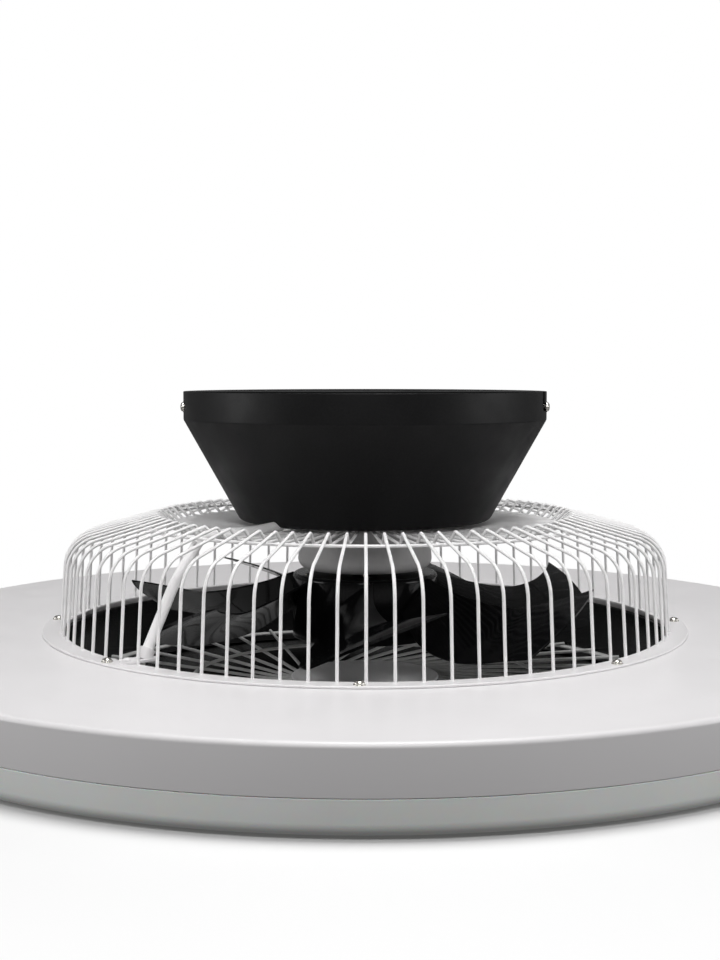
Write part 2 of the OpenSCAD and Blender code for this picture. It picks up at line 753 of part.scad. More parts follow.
module led_cable() {
    color("white") rotate([0, 0, conduit_az]) bent_rod(cable_path, cable_bends, cable_r);
}

// The motor's leads come up through its roof and end at the controller
module motor_leads() {
    turn_z = canopy_floor_z + lead_rise;
    color("white") rotate([0, 0, -90]) translate([lead_at, 0, 0])
        bent_rod([[0, roof_z + 0.5], [0, turn_z], [lead_reach, turn_z]], [0, 5, 0], lead_r);
}

// ---- motor, standing parts
module motor_housing() {
    color("silver") difference() {
        union() {
            rotate_extrude($fn = 96) motor_outline();
            translate([0, 0, motor_top_z - 0.5])
                cylinder(h = motor_seat_z - motor_top_z + 0.5, r = pad_r, $fn = 96);
        }
        translate([0, 0, motor_low_z - 1])
            cylinder(h = roof_z - motor_low_z + 1, r = motor_bore_r, $fn = 96);
        translate([0, 0, motor_low_z - 1])
            cylinder(h = end_plate_top_z - motor_low_z + 1, r = end_plate_r + fit_gap, $fn = 96);
        around(4, 45) translate([motor_bolt_r, 0, roof_z - 1])
            cylinder(h = 10, r = motor_bolt_core + 0.02);
        around(4) translate([end_screw_r, 0, end_plate_top_z - 1]) cylinder(h = 9, r = end_screw_core + 0.02);
        rotate([0, 0, -90]) translate([lead_at, 0, roof_z - 1])
            cylinder(h = 10, r = lead_r + 0.6);
    }
    color("silver") bearing_seat(roof_z - bearing_w, bearing_w + 0.5);
}

module bearing_seat(z, h) {
    difference() {
        translate([0, 0, z]) cylinder(h = h, r = boss_r);
        translate([0, 0, z - 1]) cylinder(h = bearing_w + 1, r = bearing_r);
    }
}

// Half section of the housing: a slightly flared wall between two rounded edges
module motor_outline() {
    low = motor_edge_r;
    top = motor_top_edge_r;
    polygon(concat([[0, motor_low_z]],
        arc([motor_r - low, motor_low_z + low], low, -90, 0),
        arc([motor_top_r - top, motor_top_z - top], top, 0, 90),
        [[0, motor_top_z]]));
}

module motor_end_plate() {
    color("gray") difference() {
        union() {
            translate([0, 0, end_plate_top_z - end_plate_t])
                cylinder(h = end_plate_t, r = end_plate_r, $fn = 96);
            translate([0, 0, end_plate_top_z - 0.5]) cylinder(h = bearing_w + 0.5, r = boss_r);
        }
        translate([0, 0, lower_bearing_z]) cylinder(h = bearing_w + 1, r = bearing_r);
        translate([0, 0, motor_low_z - 1]) cylinder(h = 8, r = race_out_r - 1);
        around(4) translate([end_screw_r, 0, motor_low_z - 1])
            cylinder(h = 8, r = end_screw_core + fit_gap);
    }
}

module end_plate_screws() {
    color("gainsboro") around(4)
        translate([end_screw_r, 0, end_plate_top_z - end_plate_t]) rotate([180, 0, 0])
            screw(end_head_r, 1.2, end_screw_core, end_plate_t + 6);
}

module stator_core() {
    color("dimgray") translate([0, 0, stack_mid_z - stack_h / 2]) {
        ring(stator_r - yoke_t, stator_r - 0.02, 0, stack_h);
        around(tooth_count) translate([stator_bore_r + 1, -tooth_w / 2, 0])
            cube([stator_r - stator_bore_r - yoke_t, tooth_w, stack_h]);
        around(tooth_count) rotate([0, 0, -shoe_arc / 2])
            rotate_extrude(angle = shoe_arc, $fn = 96)
                translate([stator_bore_r, 0]) square([shoe_t, stack_h]);
    }
}

// One coil round each tooth, as a closed winding
module stator_coils() {
    c_in = tooth_w / 2 + 0.1;
    length = stator_r - yoke_t - stator_bore_r - shoe_t - 1;
    color("peru") around(tooth_count)
        translate([stator_bore_r + shoe_t + 0.2, 0, stack_mid_z]) difference() {
            coil_block(length, c_in + coil_t, stack_h / 2 + 0.1 + coil_t);
            translate([-1, 0, 0]) coil_block(length + 2, c_in, stack_h / 2 + 0.1);
        }
}

module coil_block(length, half_w, half_h) {
    translate([0, -half_w, -half_h]) cube([length, 2 * half_w, 2 * half_h]);
}

// ---- bearings
module race(r_in, r_out, z) {
    difference() {
        translate([0, 0, z]) cylinder(h = bearing_w, r = r_out);
        translate([0, 0, z - 1]) cylinder(h = bearing_w + 2, r = r_in);
        wire_loop(ball_circle_r, z + bearing_w / 2, groove_r);
    }
}

module balls(z) {
    around(ball_count) translate([ball_circle_r, 0, z + bearing_w / 2]) sphere(r = ball_r);
}

module retainer(z) {
    difference() {
        ring(race_in_r + 0.25, race_out_r - 0.25, z + bearing_w / 2 - 1.7, 3.4);
        around(ball_count) translate([ball_circle_r, 0, z + bearing_w / 2])
            sphere(r = ball_r + 0.08);
    }
}

module upper_outer_race() {
    color("silver") race(race_out_r, bearing_r - 0.01, upper_bearing_z);
}

module lower_outer_race() {
    color("silver") race(race_out_r, bearing_r - 0.01, lower_bearing_z);
}

module upper_inner_race() {
    color("silver") race(shaft_r + 0.01, race_in_r, upper_bearing_z);
}

module lower_inner_race() {
    color("silver") race(shaft_r + 0.01, race_in_r, lower_bearing_z);
}

module upper_balls() {
    color("gainsboro") balls(upper_bearing_z);
}

module lower_balls() {
    color("gainsboro") balls(lower_bearing_z);
}

module upper_retainer() {
    color("tan") retainer(upper_bearing_z);
}

module lower_retainer() {
    color("tan") retainer(lower_bearing_z);
}

// ---- motor, turning parts
module motor_shaft() {
    color("silver") difference() {
        translate([0, 0, shaft_low_z]) cylinder(h = shaft_top_z - shaft_low_z, r = shaft_r);
        translate([0, 0, pin_z]) rotate([0, 90, 0])
            cylinder(h = 4 * shaft_r, r = pin_r, center = true);
    }
}

// The core's ends are hollowed so that the bearing bosses reach into it
module rotor_core() {
    web_r = boss_r + 1;
    web_h = upper_bearing_z - lower_bearing_z - bearing_w - 1;
    color("dimgray") {
        ring(web_r, core_r, stack_mid_z - stack_h / 2, stack_h);
        ring(shaft_r + 0.01, web_r + 0.5, stack_mid_z - web_h / 2, web_h);
    }
}

module rotor_magnets() {
    arc = 360 / magnet_count - 5;
    color("darkslategray") around(magnet_count)
        translate([0, 0, stack_mid_z - stack_h / 2]) rotate_extrude(angle = arc, $fn = 96)
            translate([core_r + 0.02, 0]) square([magnet_t - 0.02, stack_h]);
}

module drive_pin() {
    color("gainsboro") translate([0, 0, pin_z]) rotate([0, 90, 0])
        cylinder(h = pin_len, r = pin_r - 0.01, center = true);
}

// A cup, open below, with a keyed boss; the pin lies in a slot across its roof
module rotor_hub() {
    color("black") difference() {
        union() {
            difference() {
                rotate_extrude($fn = 144) hub_outline();
                translate([0, 0, hub_low_z - 1])
                    cylinder(h = hub_h - hub_roof_t + 1, r = hub_r - hub_wall, $fn = 96);
            }
            translate([0, 0, hub_top_z - hub_boss_h]) cylinder(h = hub_boss_h - 1, r = hub_boss_r);
            around(blade_count, rotor_turn + hub_rib_turn)
                translate([hub_boss_r - 1, -1, hub_top_z - hub_boss_h])
                    cube([hub_r - hub_wall - hub_boss_r + 1.5, 2, hub_boss_h - 1]);
        }
        translate([0, 0, hub_top_z - hub_boss_h - 1]) cylinder(h = hub_boss_h + 8, r = hub_bore_r);
        translate([-pin_len / 2 - 0.2, -pin_r - 0.05, hub_top_z - 2])
            cube([pin_len + 0.4, 2 * pin_r + 0.1, 8]);
        for (i = [0 : blade_count - 1], k = blade_screw_at) rotate([0, 0, blade_turn(i)])
            blade_screw_place(k) translate([0, 0, -hub_wall - 3])
                cylinder(h = hub_wall + 4, r = blade_screw_core + fit_gap, $fn = 24);
    }
}

module hub_outline() {
    edge = 2;
    polygon(concat([[0, hub_top_z]], arc([hub_r - edge, hub_top_z - edge], edge, 90, 0),
        [[hub_r, hub_low_z], [0, hub_low_z]]));
}

module hub_nut() {
    color("black") translate([0, 0, hub_top_z - hub_boss_h - nut_h]) difference() {
        union() {
            cylinder(h = nut_h, r = nut_r);
            around(6) translate([nut_r, 0, 0]) cylinder(h = nut_h, r = 2);
        }
        translate([0, 0, -1]) cylinder(h = nut_h + 2, r = shaft_r + 0.02);
    }
}

// ---- blades
function blade_turn(i) = rotor_turn - 90 + i * 360 / blade_count;
function blade_radius(s) = blade_root_r + s * (blade_tip_r - blade_root_r);
// Point on the blade's middle surface: s along it, c from leading to trailing edge
function blade_angle(s, c) = let (a = smooth(blade_at, lead_turn, s),
    b = smooth(blade_at, trail_turn, s)) a + (b - a) * c;
function blade_height(s, c) = let (a = smooth(blade_at, lead_high, s),
    b = smooth(blade_at, trail_high, s), chord = norm([a - b, blade_radius(s) * PI / 180
    * (smooth(blade_at, lead_turn, s) - smooth(blade_at, trail_turn, s))]))
    ring_z + a + (b - a) * c + blade_camber * chord * 4 * c * (1 - c);
function blade_point(s, c) = let (r = blade_radius(s), a = blade_angle(s, c))
    [r * cos(a), r * sin(a), blade_height(s, c)];
// Half thickness, least at the edges
function half_t(s, c) = blade_t / 2 * (edge_share + (1 - edge_share) * 4 * c * (1 - c))
    * (1.25 - 0.4 * s);
function blade_normal(s, c) =
    let (d = 0.01, s0 = max(0, s - d), s1 = min(1, s + d), c0 = max(0, c - d),
        c1 = min(1, c + d))
    unit(cross(blade_point(s1, c) - blade_point(s0, c),
        blade_point(s, c1) - blade_point(s, c0)));
// Root points stay on the hub's round face, so their shift is along that face
function blade_skin(s, c, side) =
    let (p = blade_point(s, c), n = blade_normal(s, c),
        m = s == 0 ? unit([n.x, n.y, n.z] - unit([p.x, p.y, 0]) * (n * unit([p.x, p.y, 0]))) : n,
        q = p + m * side * half_t(s, c), r = norm([q.x, q.y]))
    s == 0 ? [q.x * blade_root_r / r, q.y * blade_root_r / r, q.z] : q;

module blade_solid() {
    nr = blade_rows;
    nc = blade_cols;
    w = nc + 1;
    m = (nr + 1) * w;
    points = [for (side = [1, -1], i = [0 : nr], j = [0 : nc])
        blade_skin(i / nr, j / nc, side)];
    top = [for (i = [0 : nr - 1], j = [0 : nc - 1]) let (a = i * w + j)
        each [[a, a + w, a + 1], [a + 1, a + w, a + w + 1]]];
    low = [for (f = top) [f[2] + m, f[1] + m, f[0] + m]];
    rim = concat([for (j = [0 : nc]) j], [for (i = [1 : nr]) i * w + nc],
        [for (j = [nc - 1 : -1 : 0]) nr * w + j], [for (i = [nr - 1 : -1 : 1]) i * w]);
    sides = [for (k = [0 : len(rim) - 1]) let (a = rim[k], b = rim[(k + 1) % len(rim)])
        each [[a, b, a + m], [b, b + m, a + m]]];
    polyhedron(points = points, faces = concat(top, low, sides));
}

// Places children at a screw of the blade's root, with +Z pointing out of the hub
module blade_screw_place(k) {
    p = blade_point(0, k);
    a = blade_angle(0, k);
    translate([hub_r * cos(a), hub_r * sin(a), p.z]) rotate([0, 0, a]) rotate([0, 90, 0])
        children();
}

module blade(i) {
    color("black") rotate([0, 0, blade_turn(i)]) blade_solid();
}

module blade_screws() {
    head_h = 1.4;
    color("gainsboro") for (i = [0 : blade_count - 1], k = blade_screw_at)
        rotate([0, 0, blade_turn(i)]) blade_screw_place(k)
            translate([0, 0, -hub_wall - gap]) rotate([180, 0, 0])
                screw(2.1, head_h, blade_screw_core, hub_wall + gap);
}

ceiling_bracket();
terminal_block();
canopy();
canopy_side_screws();
led_driver();
fan_controller();
motor_screws();
cage_plate();
cage_wires();
cage_ring();
cage_flange();
flange_screws();
flange_nuts();
ring_housing();
led_boards();
led_chips();
diffuser();
duct_liner();
grille_outer_ring();
grille_spokes();
grille_ring();
grille_disc();
grille_screws();
wiring_conduit();
conduit_foot();
conduit_screw();
led_cable();
motor_leads();
motor_housing();
motor_end_plate();
end_plate_screws();
stator_core();
stator_coils();
upper_outer_race();
lower_outer_race();
upper_balls();
upper_retainer();
lower_balls();
lower_retainer();
motor_shaft();
upper_inner_race();
lower_inner_race();
rotor_core();
rotor_magnets();
drive_pin();
rotor_hub();
hub_nut();
blade_screws();
blade(0);  // blade_1
blade(1);  // blade_2
blade(2);  // blade_3
blade(3);  // blade_4
blade(4);  // blade_5
blade(5);  // blade_6
blade(6);  // blade_7
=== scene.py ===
# Looks of the flush caged ceiling fan with a ring lamp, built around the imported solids.
# Metres, in the solids' own frame: z = 0 is the ceiling, the fan hangs below it, -Y is the front.
import bmesh
import bpy
import math
from mathutils import Matrix, Vector


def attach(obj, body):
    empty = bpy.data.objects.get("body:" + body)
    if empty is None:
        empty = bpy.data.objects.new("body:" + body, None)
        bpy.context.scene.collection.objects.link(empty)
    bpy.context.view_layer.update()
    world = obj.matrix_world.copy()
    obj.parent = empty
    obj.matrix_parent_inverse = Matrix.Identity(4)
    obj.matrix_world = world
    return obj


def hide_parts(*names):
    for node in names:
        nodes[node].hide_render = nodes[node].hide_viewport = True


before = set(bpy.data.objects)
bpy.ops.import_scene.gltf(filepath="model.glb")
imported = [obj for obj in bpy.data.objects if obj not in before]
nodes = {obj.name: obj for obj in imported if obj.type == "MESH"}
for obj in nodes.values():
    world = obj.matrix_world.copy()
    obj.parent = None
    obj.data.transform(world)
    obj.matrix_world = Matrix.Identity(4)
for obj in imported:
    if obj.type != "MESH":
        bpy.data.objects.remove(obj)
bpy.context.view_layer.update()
front = -90  # degrees from +X round to the fan's front
print("stage: frame loaded,", len(nodes), "solids")


# Small helpers

def mm(value):
    return value / 1000


def srgb(code):  # sRGB hex to linear RGBA
    parts = [int(code[i:i + 2], 16) / 255 for i in (1, 3, 5)]
    return tuple(p / 12.92 if p <= 0.04045 else ((p + 0.055) / 1.055) ** 2.4 for p in parts) + (1,)


def addNode(tree, kind, settings=None, links=None):
    node = tree.nodes.new(kind)
    for key, value in (settings or {}).items():
        if isinstance(key, str) and hasattr(node, key):
            setattr(node, key, value)
        else:
            node.inputs[key].default_value = value
    for key, source in (links or {}).items():
        tree.links.new(source, node.inputs[key])
    return node


# Corners in 2D, each rounded by its radius. The radius of an open path's ends isn't used
def rounded(corners, radii, closed=False, perTurn=48):
    corners = [Vector(c) for c in corners]
    count = len(corners)
    out = []
    for i, (corner, radius) in enumerate(zip(corners, radii)):
        if radius == 0 or (not closed and i in (0, count - 1)):
            out.append(corner.copy())
            continue
        inward = (corner - corners[i - 1]).normalized()
        outward = (corners[(i + 1) % count] - corner).normalized()
        sweep = inward.angle(outward)
        if sweep < 1e-4:
            out.append(corner.copy())
            continue
        left = inward.x * outward.y - inward.y * outward.x > 0
        start = corner - inward * radius * math.tan(sweep / 2)
        side = Vector((-inward.y, inward.x)) * (1 if left else -1)
        centre = start + side * radius
        steps = max(2, math.ceil(sweep / (2 * math.pi / perTurn)))
        for k in range(steps + 1):
            turn = Matrix.Rotation((1 if left else -1) * sweep * k / steps, 2)
            out.append(centre + turn @ (start - centre))
    return out


def finishMesh(name, bm, material, sharp=38):
    bmesh.ops.remove_doubles(bm, verts=bm.verts, dist=1e-7)
    bmesh.ops.dissolve_degenerate(bm, edges=bm.edges, dist=1e-8)
    bmesh.ops.recalc_face_normals(bm, faces=bm.faces)
    mesh = bpy.data.meshes.new(name)
    bm.to_mesh(mesh)
    bm.free()
    return addPiece(name, mesh, material, sharp)


def addPiece(name, mesh, material, sharp=38):
    mesh.name = name
    piece = bpy.data.objects.new(name, mesh)
    bpy.context.scene.collection.objects.link(piece)
    if material and material.name not in mesh.materials:
        mesh.materials.append(material)
    mesh.shade_smooth()
    mesh.set_sharp_from_angle(angle=math.radians(sharp))
    return piece


# A closed outline of (radius, height) in mm, turned about the upright axis
def turned(name, outline, material, steps=256, sharp=38):
    bm = bmesh.new()
    rows = []
    for k in range(steps):
        angle = 2 * math.pi * k / steps
        rows.append([bm.verts.new((mm(r) * math.cos(angle), mm(r) * math.sin(angle), mm(z)))
                     for r, z in outline])
    for k in range(steps):
        here, there = rows[k], rows[(k + 1) % steps]
        for j in range(len(outline)):
            if outline[j - 1][0] > 0 or outline[j][0] > 0:  # nothing along the axis itself
                bm.faces.new((here[j - 1], there[j - 1], there[j], here[j]))
    return finishMesh(name, bm, material, sharp)


def circle(centre, radius, steps):
    return [Vector(centre) + radius * Vector((math.cos(a), math.sin(a)))
            for a in (2 * math.pi * k / steps for k in range(steps))]


# Points of an arc about (x, 0), 15 degrees apart
def arc(x, radius, first, last):
    return [(x + radius * math.cos(a), radius * math.sin(a))
            for a in map(math.radians, range(first, last + 1, 15))]


# Puts the place and turn into the mesh, so that the object itself stays at the origin
def moveMesh(piece, *steps):
    for step in steps:
        piece.data.transform(step)
    return piece


def turnBy(degrees, axis="Z"):
    return Matrix.Rotation(math.radians(degrees), 4, axis)


def shift(*place):
    return Matrix.Translation([mm(v) for v in place])


# The shape that a piece's modifiers give, as a plain mesh
def plainMesh(piece):
    graph = bpy.context.evaluated_depsgraph_get()
    return bpy.data.meshes.new_from_object(piece.evaluated_get(graph), depsgraph=graph)


# Cuts a tool mesh out of a piece, and leaves a plain mesh
def cutOut(piece, tool, sharp=38):
    name, material = piece.name, piece.data.materials[0]
    cut = piece.modifiers.new("cut", "BOOLEAN")
    cut.operation, cut.solver, cut.object = "DIFFERENCE", "EXACT", tool
    mesh = plainMesh(piece)
    for old in (piece, tool):
        bpy.data.objects.remove(old)
    mesh.materials.clear()
    return addPiece(name, mesh, material, sharp)


# A flat outline in mm, thickened upwards from z = 0
def slab(name, outline, height, material):
    bm = bmesh.new()
    low = [bm.verts.new((mm(x), mm(y), 0)) for x, y in outline]
    high = [bm.verts.new((mm(x), mm(y), mm(height))) for x, y in outline]
    bm.faces.new(low[::-1])
    bm.faces.new(high)
    for i in range(len(outline)):
        bm.faces.new((low[i - 1], low[i], high[i], high[i - 1]))
    return finishMesh(name, bm, material)


def joined(name, pieces, material, sharp=38):
    bm = bmesh.new()
    for piece in pieces:
        bm.from_mesh(piece.data)
        bpy.data.objects.remove(piece)
    mesh = bpy.data.meshes.new(name)
    bm.to_mesh(mesh)
    bm.free()
    return addPiece(name, mesh, material, sharp)


# Geometry Nodes: what repeats round the axis or follows a path

def newTree(name, inputs):
    tree = bpy.data.node_groups.new(name, "GeometryNodeTree")
    tree.interface.new_socket("Geometry", in_out="INPUT", socket_type="NodeSocketGeometry")
    for label, kind in inputs:
        tree.interface.new_socket(label, in_out="INPUT", socket_type="NodeSocket" + kind)
    tree.interface.new_socket("Geometry", in_out="OUTPUT", socket_type="NodeSocketGeometry")
    return tree, addNode(tree, "NodeGroupInput"), addNode(tree, "NodeGroupOutput")


# Every tree ends in real geometry with its material
def closeTree(tree, start, shape, end):
    real = addNode(tree, "GeometryNodeRealizeInstances", None, {"Geometry": shape.outputs[0]})
    paint = addNode(tree, "GeometryNodeSetMaterial", None,
                    {"Geometry": real.outputs[0], "Material": start.outputs["Material"]})
    tree.links.new(paint.outputs[0], end.inputs[0])
    return tree


# Copies of a shape, evenly spread round the upright axis
def makeRoundTree():
    tree, start, end = newTree("copiesRoundAxis", [
        ("Count", "Int"), ("First Turn", "Float"), ("Material", "Material")])
    points = addNode(tree, "GeometryNodeMeshLine", {"Offset": (0, 0, 0)},
                     {"Count": start.outputs["Count"]})
    index = addNode(tree, "GeometryNodeInputIndex")
    share = addNode(tree, "ShaderNodeMath", {"operation": "DIVIDE"},
                    {0: index.outputs[0], 1: start.outputs["Count"]})
    turn = addNode(tree, "ShaderNodeMath", {"operation": "MULTIPLY_ADD", 1: 2 * math.pi},
                   {0: share.outputs[0], 2: start.outputs["First Turn"]})
    rotation = addNode(tree, "ShaderNodeCombineXYZ", None, {"Z": turn.outputs[0]})
    copies = addNode(tree, "GeometryNodeInstanceOnPoints", None, {
        "Points": points.outputs[0], "Instance": start.outputs["Geometry"],
        "Rotation": rotation.outputs[0]})
    return closeTree(tree, start, copies, end)


# A round rod along the piece's own edges
def makeRodTree():
    tree, start, end = newTree("rodAlongPath", [
        ("Radius", "Float"), ("Sides", "Int"), ("Material", "Material")])
    line = addNode(tree, "GeometryNodeMeshToCurve", None, {"Mesh": start.outputs["Geometry"]})
    profile = addNode(tree, "GeometryNodeCurvePrimitiveCircle", None,
                      {"Resolution": start.outputs["Sides"], "Radius": start.outputs["Radius"]})
    rod = addNode(tree, "GeometryNodeCurveToMesh", {"Fill Caps": True},
                  {"Curve": line.outputs[0], "Profile Curve": profile.outputs[0]})
    return closeTree(tree, start, rod, end)


roundTree = makeRoundTree()
rodTree = makeRodTree()


# Runs a tree on a piece and returns the result as a plain mesh piece of the same name
def grow(piece, tree, values, sharp=38):
    name = piece.name
    modifier = piece.modifiers.new("grow", "NODES")
    modifier.node_group = tree
    for item in tree.interface.items_tree:
        if item.item_type == "SOCKET" and item.in_out == "INPUT" and item.name in values:
            modifier[item.identifier] = values[item.name]
    bpy.context.view_layer.update()
    mesh = plainMesh(piece)
    piece.modifiers.remove(modifier)
    bpy.data.objects.remove(piece)
    return addPiece(name, mesh, None, sharp)


def copyRound(piece, material, count, firstTurn, sharp=38):
    return grow(piece, roundTree, {
        "Count": count, "First Turn": math.radians(firstTurn), "Material": material}, sharp)


# A rod through 3D points in mm
def rod(name, points, radius, material, sides=12):
    mesh = bpy.data.meshes.new(name)
    links = [(i, i + 1) for i in range(len(points) - 1)]
    mesh.from_pydata([[mm(x) for x in p] for p in points], links, [])
    line = bpy.data.objects.new(name, mesh)
    bpy.context.scene.collection.objects.link(line)
    return grow(line, rodTree, {"Radius": mm(radius), "Sides": sides, "Material": material})


# The piece moves with a body, and stands for solids where some are named
def handOver(piece, body, *standsFor):
    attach(piece, body)
    if standsFor:
        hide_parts(*standsFor)


# Materials

def newMaterial(name, base, roughness, **settings):
    material = bpy.data.materials.new(name)
    material.use_nodes = True
    tree = material.node_tree
    tree.nodes.clear()
    shader = addNode(tree, "ShaderNodeBsdfPrincipled", {
        "name": "shader", "Base Color": srgb(base), "Roughness": roughness})
    for key, value in settings.items():
        shader.inputs[key.replace("_", " ")].default_value = value
    addNode(tree, "ShaderNodeOutputMaterial", None, {"Surface": shader.outputs[0]})
    addNode(tree, "ShaderNodeTexCoord", {"name": "place"})
    return material


def partsOf(material):
    tree = material.node_tree
    return tree, tree.nodes["shader"], tree.nodes["place"].outputs["Object"]


noiseSpan = (0.3, 0.7)  # where nearly all of a noise texture's values lie


# Mottle: a slow drift of the colour between two tones, grain size in mm
def mottle(material, grain, tones, detail=3):
    tree, shader, place = partsOf(material)
    noise = addNode(tree, "ShaderNodeTexNoise", {"Scale": 1 / mm(grain), "Detail": detail},
                    {"Vector": place})
    ramp = addNode(tree, "ShaderNodeValToRGB", None, {"Fac": noise.outputs["Fac"]})
    for element, stop, tone in zip(ramp.color_ramp.elements, noiseSpan, tones):
        element.position, element.color = stop, srgb(tone)
    tree.links.new(ramp.outputs["Color"], shader.inputs["Base Color"])


# Sheen of the finish: roughness drifts between two values, grain size in mm
def patchyGloss(material, grain, low, high):
    tree, shader, place = partsOf(material)
    noise = addNode(tree, "ShaderNodeTexNoise", {"Scale": 1 / mm(grain), "Detail": 2},
                    {"Vector": place})
    spread = addNode(tree, "ShaderNodeMapRange", {
        "From Min": noiseSpan[0], "From Max": noiseSpan[1], "To Min": low, "To Max": high},
        {"Value": noise.outputs["Fac"]})
    tree.links.new(spread.outputs[0], shader.inputs["Roughness"])


# Surface relief, grain size and depth in mm: cloudy, or in bands across the axis that is named
def relief(material, grain, depth, detail=2, bandsAcross=None, waver=0):
    tree, shader, place = partsOf(material)
    if bandsAcross:
        texture = addNode(tree, "ShaderNodeTexWave", {
            "wave_type": "BANDS", "bands_direction": bandsAcross,
            "Scale": 1 / mm(grain), "Distortion": waver}, {"Vector": place})
    else:
        texture = addNode(tree, "ShaderNodeTexNoise", {"Scale": 1 / mm(grain), "Detail": detail},
                          {"Vector": place})
    bump = addNode(tree, "ShaderNodeBump", {"Strength": 1, "Distance": mm(depth)},
                   {"Height": texture.outputs["Fac"]})
    tree.links.new(bump.outputs[0], shader.inputs["Normal"])


# Powder-coated steel, satin black: a fine orange peel breaks up the highlight
def blackPowderCoat():
    material = newMaterial("blackPowderCoat", "#111112", 0.48, Specular_IOR_Level=0.2)
    mottle(material, 1.1, ("#0d0d0e", "#141415"))
    patchyGloss(material, 18, 0.44, 0.53)
    relief(material, 0.9, 0.03)
    return material


# Epoxy-dipped steel wire, white: thick even coat, a little waxy
def whiteDippedWire():
    material = newMaterial("whiteDippedWire", "#f6f5f5", 0.3)
    mottle(material, 12, ("#f3f2f2", "#f9f8f8"))
    relief(material, 1.6, 0.02)
    return material


# Sprayed white paint on sheet steel: even, half matt, slight peel
def whiteSprayPaint():
    material = newMaterial("whiteSprayPaint", "#e6e4e5", 0.38)
    mottle(material, 60, ("#e5e3e4", "#e7e5e6"))
    patchyGloss(material, 25, 0.34, 0.42)
    relief(material, 0.8, 0.006)
    return material


# Injection-moulded ABS, polished black: deep gloss with faint flow marks
def glossBlackAbs():
    material = newMaterial("glossBlackAbs", "#0a0a0b", 0.1, Specular_IOR_Level=0.13)
    mottle(material, 40, ("#080809", "#0c0c0d"))
    patchyGloss(material, 22, 0.07, 0.13)
    relief(material, 9, 0.01, detail=1)
    return material


# Rolled polypropylene sheet, black: softer gloss than the blades
def blackDuctPlastic():
    material = newMaterial("blackDuctPlastic", "#0b0b0c", 0.22, Specular_IOR_Level=0.25)
    mottle(material, 35, ("#09090a", "#0e0e0f"))
    patchyGloss(material, 16, 0.18, 0.27)
    relief(material, 5, 0.012, detail=1)
    return material


# Die-cast aluminium with light grey paint: half matt, cast grain shows through
def greyCastPaint():
    material = newMaterial("greyCastPaint", "#b6b5b5", 0.42)
    mottle(material, 5, ("#b2b1b1", "#bab9b9"), detail=6)
    relief(material, 0.7, 0.015, detail=4)
    return material


# Nickel plate on screws: bright, a little uneven where the head was pressed
def nickelPlate():
    material = newMaterial("nickelPlate", "#cfccc6", 0.22, Metallic=1.0)
    mottle(material, 1.5, ("#c4c1ba", "#d9d7d2"))
    patchyGloss(material, 1, 0.16, 0.3)
    return material


# Opal PMMA: milky, smooth, light spreads inside it
def opalAcrylic():
    material = newMaterial("opalAcrylic", "#f1f1ee", 0.28, Subsurface_Weight=0.25,
                           Subsurface_Scale=0.004, IOR=1.49)
    mottle(material, 80, ("#efefec", "#f4f4f2"))
    relief(material, 6, 0.008, detail=1)
    return material


# Polyester-coated steel rod, light grey, half matt
def paleGrilleCoat():
    material = newMaterial("paleGrilleCoat", "#bdbdbc", 0.42)
    mottle(material, 10, ("#b8b8b7", "#c2c2c1"))
    relief(material, 1.2, 0.015)
    return material


# Baked white paint on the pressed steel disc, half matt
def whiteDiscPaint():
    material = newMaterial("whiteDiscPaint", "#f7f6f6", 0.4)
    mottle(material, 24, ("#f5f4f4", "#f9f8f8"))
    relief(material, 0.8, 0.008)
    return material


# Ground bearing and shaft steel: mirror-like with fine rings round the axis
def groundSteel():
    material = newMaterial("groundSteel", "#c2c3c5", 0.18, Metallic=1.0)
    mottle(material, 6, ("#b8b9bb", "#cbccce"))
    relief(material, 2.4, 0.003, bandsAcross="Z", waver=0.3)
    return material


# Varnished electrical steel sheets, 0.5 mm each, stacked: drawn as coarse as they need to show
def steelLaminations():
    material = newMaterial("steelLaminations", "#4b4d50", 0.45, Metallic=0.8)
    mottle(material, 8, ("#424447", "#55575a"))
    relief(material, 3.2, 0.08, bandsAcross="Z")
    return material


# Enamelled copper wire: warm and lacquered, its strands drawn coarser than they are
def enamelledCopper():
    material = newMaterial("enamelledCopper", "#a85c33", 0.3, Metallic=0.9)
    mottle(material, 3, ("#98502c", "#b9693c"))
    relief(material, 3, 0.15, bandsAcross="X")
    return material


# Nickel-coated sintered magnets: dark, slightly patchy
def magnetPlate():
    material = newMaterial("magnetPlate", "#6d7074", 0.35, Metallic=0.9)
    mottle(material, 4, ("#62656a", "#797c80"))
    return material


# Moulded nylon of the bearing retainers, straw-coloured: half matt
def strawNylon():
    material = newMaterial("strawNylon", "#c9b48a", 0.45)
    mottle(material, 3, ("#c2ac80", "#d1bd95"))
    relief(material, 0.6, 0.01)
    return material


# White solder mask on an aluminium board: even, a little glossy
def whiteSolderMask():
    material = newMaterial("whiteSolderMask", "#e9ece8", 0.35)
    mottle(material, 15, ("#e4e8e3", "#eef0ed"))
    relief(material, 2.5, 0.01)
    return material


# Phosphor under clear silicone: yellow, matt
def chipPhosphor():
    material = newMaterial("chipPhosphor", "#e3d36b", 0.5)
    mottle(material, 1.5, ("#dcca5e", "#eadc7c"))
    return material


# Soft PVC sheath, white: dull, with a faint grain
def whitePvc():
    material = newMaterial("whitePvc", "#e4e3de", 0.5)
    mottle(material, 9, ("#dfded8", "#e9e8e4"))
    relief(material, 1, 0.01)
    return material


# Moulded housings of the electric boxes, off-white: matt, spark-eroded grain
def whiteBoxPlastic():
    material = newMaterial("whiteBoxPlastic", "#dcdcd8", 0.5)
    mottle(material, 20, ("#d7d7d2", "#e1e1de"))
    relief(material, 0.8, 0.02, detail=4)
    return material


